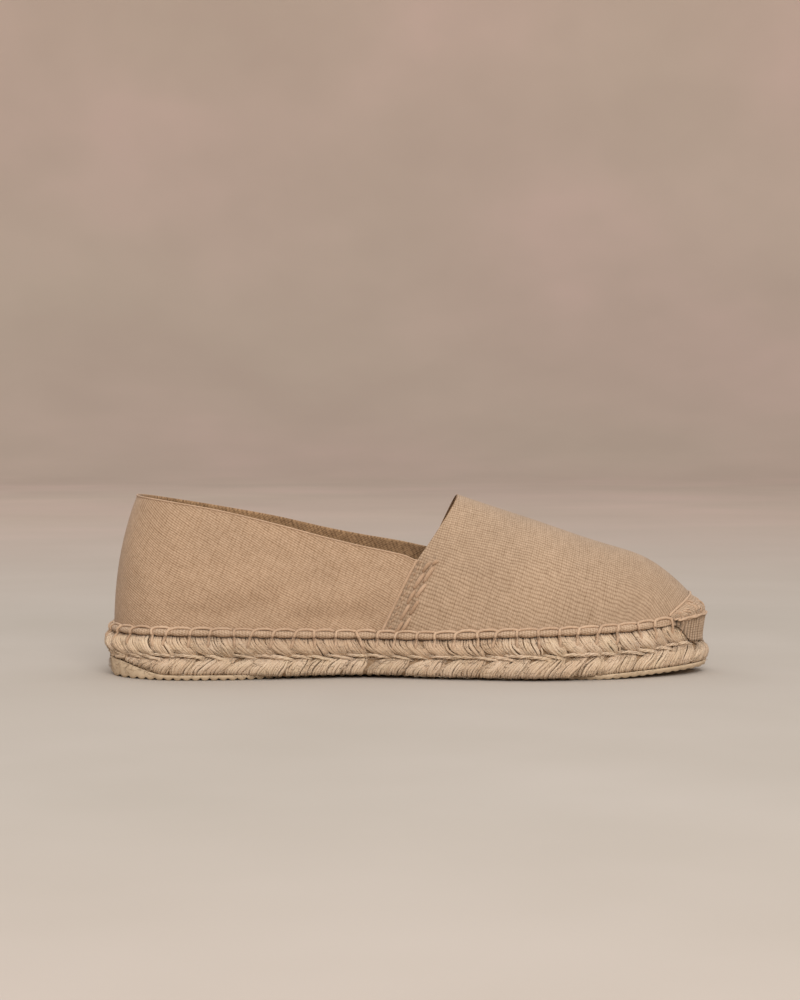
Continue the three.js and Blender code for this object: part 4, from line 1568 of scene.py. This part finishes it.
@dataclass
class ToeGather:
    """The gathered canvas at the toe: a pleated patch with binding threads."""

    start_x: float = 116.0
    foot_z: float = 14.6
    steps: int = 420
    rows: int = 30
    pleats: int = 28
    proud: float = 2.2
    clear: float = 0.4
    throat_steps: int = 312
    edge_steps: int = 144  # steps of the throat's upper end that the columns lean towards
    sewn_from: tuple[float, float] = (0.72, 1.0)  # share of the way up where the top edge is sewn down
    thread_points: int = 41
    bars: int = 22
    loose: int = 30
    threads_round: float = 62.0
    threads_high: float = 24.0

    def columns(self) -> tuple[Array, Array]:
        """Foot and edge of each column round the tip, from the outer side to the inner."""
        end, half = LAST.foot_angle(self.start_x), self.steps // 2
        at = np.linspace(0, self.edge_steps, half + 1)
        steps = np.arange(self.throat_steps + 1)
        feet = [LAST.foot_line(side, 0, end, half) for side in (1, -1)]
        edges = [pick(LAST.throat_line(side, self.throat_steps), steps, at) for side in (1, -1)]
        feet, edges = (np.concatenate([part[0][::-1], part[1][1:]]) for part in (feet, edges))
        return feet, edges

    def face(self, u: Array, v: Array, grow: Array) -> Array:
        """Points of the patch.

        Args:
            u: Share of the way round the tip.
            v: Share of the way up.
            grow: Distance outwards of the form.

        Returns:
            The points.
        """
        numbers = np.arange(self.steps + 1)
        foot, edge = (pick(part, numbers, u * self.steps) for part in self.columns())
        reach = np.clip((foot[:, 0] - self.start_x) / (LAST.canvas_tip - self.start_x), 0, 1)
        lowest = foot[:, 2] - 0.2 + (self.foot_z - foot[:, 2] + 0.2) * ramp(reach, 0.05, 0.6)
        highest = 0.02 + 0.09 * reach**0.8
        bands = np.clip(v * 3, 0, 3)
        skirt, hem, top = np.clip(bands, 0, 1), np.clip(bands - 1, 0, 1), np.clip(bands - 2, 0, 1)
        low = foot.copy()
        low[:, 2] += LAST.hem_high
        towards = low + (edge - low) * (highest * top)[:, None]
        in_hem = foot.copy()
        in_hem[:, 2] += LAST.hem_high * hem
        towards = np.where((bands <= 2)[:, None], in_hem, towards)
        point = LAST.on_form(towards, grow)
        skirt_z = lowest + (foot[:, 2] - lowest) * skirt
        point[:, 2] = np.where(bands <= 1, skirt_z, point[:, 2])
        return point

    def build(self, palette: Palette) -> list[Piece]:
        """Builds the patch and its threads.

        Args:
            palette: The shoe's materials.

        Returns:
            The patch and the threads.
        """
        outer, inner = self.rows, self.rows // 2
        bm, column, row = grid(self.steps, outer + inner)
        u = column / self.steps
        row = row % (outer + inner)
        front = row <= outer
        v = np.where(front, row / outer, 1 - (row - outer) / inner)
        ends = np.clip(np.minimum(u, 1 - u) * 12, 0, 1)
        wave = math.pi * self.pleats * (u + 0.006 * np.sin(9 * v) + 0.005 * np.sin(31 * u))
        pleat = np.abs(np.sin(wave)) ** 0.9
        deep = 1.7 * (1 - ramp(v, 0.52, 0.7)) + 0.25
        pucker = 0.3 * np.sin(61 * u + 7 * v) * np.sin(23 * v + 19 * u) * ramp(v, 0.6, 0.75)
        sewn = ramp(v, *self.sewn_from)
        full = (0.25 + 0.75 * ends) * (1 - sewn) * (0.4 + 0.6 * ramp(v, 0.05, 0.5))
        grow = (self.proud - deep * (1 - pleat) * ends) * full + pucker * (1 - sewn) + 0.15
        grow = np.where(front, np.maximum(grow, -0.2), np.where(v > 0.7, -0.4, self.clear))
        move_to(bm, self.face(u, v, grow))
        # Painted shade: in the valleys of the lower pleats, in a hole at each end of the patch halfway up,
        # and in the crumples above the binding threads.
        corner = np.exp(-(((np.minimum(u, 1 - u) - 0.035) / 0.03) ** 2) - ((v - 0.5) / 0.08) ** 2)
        shade = 0.7 * (1 - pleat) ** 0.9 * (1 - ramp(v, 0.5, 0.6)) + 0.5 * corner
        crumple = (1 - np.abs(np.sin(57 * u + 9 * v + 2 * np.sin(31 * u)))) ** 2
        shade += 0.35 * crumple * ramp(v, 0.62, 0.7) * (1 - sewn)
        write_shade(bm, "fold_shade", shade)
        lay_uv(bm, u * self.threads_round, v * self.threads_high)
        weld(bm, holes=0)
        patch = finish_piece(bm, "toe_gather", [palette.rolled])
        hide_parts("toe_patch")
        return [patch, self.threads(palette)]

    def threads(self, palette: Palette) -> Piece:
        """Lays the binding threads over the patch."""
        rng = random.Random(41)
        made = Strands(sides=6)
        t = np.linspace(0, 1, self.thread_points)
        arch = np.sin(math.pi * t) ** 0.5
        inside = np.array([95.0, -3.0, 20.0])  # a point in the toe, from which every thread faces away

        def lay(u: Array, v: Array, grow: Array | float, radius: float, tone: float) -> None:
            path = self.face(u, v, np.broadcast_to(grow, u.shape))
            made.lay(path, unit(path - inside), radius, tone)

        lay(t, np.full(len(t), 0.985), 0.35, 0.55, 0.6)
        lay(0.02 + 0.96 * t, 0.56 + 0.02 * np.sin(37 * t), self.proud + 0.5, 0.6, 0.6)
        for k in range(self.bars):
            at = 0.03 + 0.94 * k / (self.bars - 1) + rng.gauss(0, 0.01)
            tilt = rng.uniform(0.02, 0.05)
            v = 0.6 + rng.uniform(-0.04, 0.03) + rng.uniform(-0.1, 0.06) * t
            lift = self.proud - 0.75 + arch
            lay(np.clip(at + tilt * (t - 0.5) * 2, 0, 1), v, lift, 0.46, rng.uniform(0.3, 0.7))
        for _ in range(self.loose):
            at = 0.04 + 0.92 * rng.random()
            v = rng.uniform(0.7, 0.9) + rng.uniform(-0.12, 0.12) * t
            lift = (self.proud + 0.1) * (1 - ramp(v, *self.sewn_from)) - 0.4 + 0.7 * arch
            lay(np.clip(at + rng.uniform(-0.05, 0.05) * t, 0, 1), v, lift, 0.42, rng.uniform(0.2, 0.7))
        return finish_piece(made.mesh(), "toe_threads", [palette.thread])


# ---- Stage ----


@dataclass(frozen=True)
class Lamp:
    """One soft round light that faces the shoe: its place, diameter and power."""

    name: str
    place: tuple[float, float, float]
    size: float
    power: float

    def hang(self, code: str, aim: Vector) -> None:
        """Puts the light into the scene in a colour, turned towards a point."""
        data = bpy.data.lights.new(self.name, "AREA")
        data.shape, data.size, data.energy = "DISK", self.size, self.power
        data.color = linear(code)[:3]
        lamp = link(self.name, data)
        lamp.location = self.place
        lamp.rotation_euler = (aim - Vector(self.place)).to_track_quat("-Z", "Y").to_euler()


@dataclass
class Studio:
    """Floor, light and camera."""

    lamps: tuple[Lamp, ...] = (
        Lamp("key", (0.25, -2.1, 1.3), 1.5, 44),
        Lamp("top", (0.2, 0.2, 2.2), 1.8, 7),
        Lamp("back", (-1.6, 1.9, 1.6), 1.4, 7),
    )
    lamp_colour: str = "FFFDFB"
    room_colour: str = "F4F0EE"
    room_power: float = 0.7
    aim: tuple[float, float, float] = (0, 0, 0.04)
    flat: float = 2.6  # distance from the shoe at which the floor turns up
    bend: float = 1.2
    wall: float = 1.3
    turns: int = 96
    sensor: float = 36.0
    camera_at: tuple[float, float, float] = (-0.049, -1.0454, 0.120)
    yaw: float = -2.5
    pitch: float = 2.345
    lens: float = 83.5

    def floor(self) -> Piece:
        """Builds the pale floor that curves up into a distant wall."""
        bm = bmesh.new()
        arc = [(math.sin(a), 1 - math.cos(a)) for a in np.linspace(0.1, math.pi / 2, 10)]
        profile = [(0.0, 0.0), (self.flat, 0.0)]
        profile += [(self.flat + self.bend * x, self.bend * z) for x, z in arc]
        profile += [(self.flat + self.bend, self.wall)]
        verts = [bm.verts.new((x, 0.0, z)) for x, z in profile]
        geom = verts + [bm.edges.new(pair) for pair in zip(verts, verts[1:])]
        bmesh.ops.spin(
            bm, geom=geom, axis=(0, 0, 1), cent=(0, 0, 0), angle=math.tau, steps=self.turns, use_merge=True
        )
        weld(bm)
        # Lime plaster, limewashed by hand: matt and pale, with faint trowel clouds.
        plaster = LimePlaster("limewashed_plaster", "BFB6AC", "B8AFA4", 0.95, 0.0, 0.02).made()
        floor = mesh_object(bm, "plaster_floor", [plaster])
        return floor

    def build(self) -> None:
        """Sets up floor, lights, world and camera."""
        self.floor()
        for lamp in self.lamps:
            lamp.hang(self.lamp_colour, Vector(self.aim))
        scene = bpy.context.scene
        scene.world = bpy.data.worlds.new("soft_room")
        scene.world.use_nodes = True
        room = scene.world.node_tree.nodes["Background"]
        room.inputs["Color"].default_value = linear(self.room_colour)
        room.inputs["Strength"].default_value = self.room_power
        data = bpy.data.cameras.new("camera")
        data.lens, data.sensor_width = self.lens, self.sensor
        scene.camera = link("camera", data)
        scene.camera.location = self.camera_at
        scene.camera.rotation_euler = Euler((math.radians(90 - self.pitch), 0, math.radians(self.yaw)))
        scene.view_settings.view_transform = "Standard"


def main() -> None:
    """Builds the shoe and its stage."""
    logging.basicConfig(level=logging.INFO, format="%(message)s")
    Studio().build()
    palette = Palette()
    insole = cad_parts["insole"].data
    insole.materials.clear()
    insole.materials.append(palette.insole)
    hem = HemRoll()
    CanvasUpper().build(palette)
    hem.build(palette)
    BlanketStitch(hem).build(palette)
    SideSeams().build(palette)
    ToeGather().build(palette)
    JuteBraid().build(palette)
    RubberOutsole().build(palette)


if __name__ == "__main__":
    main()
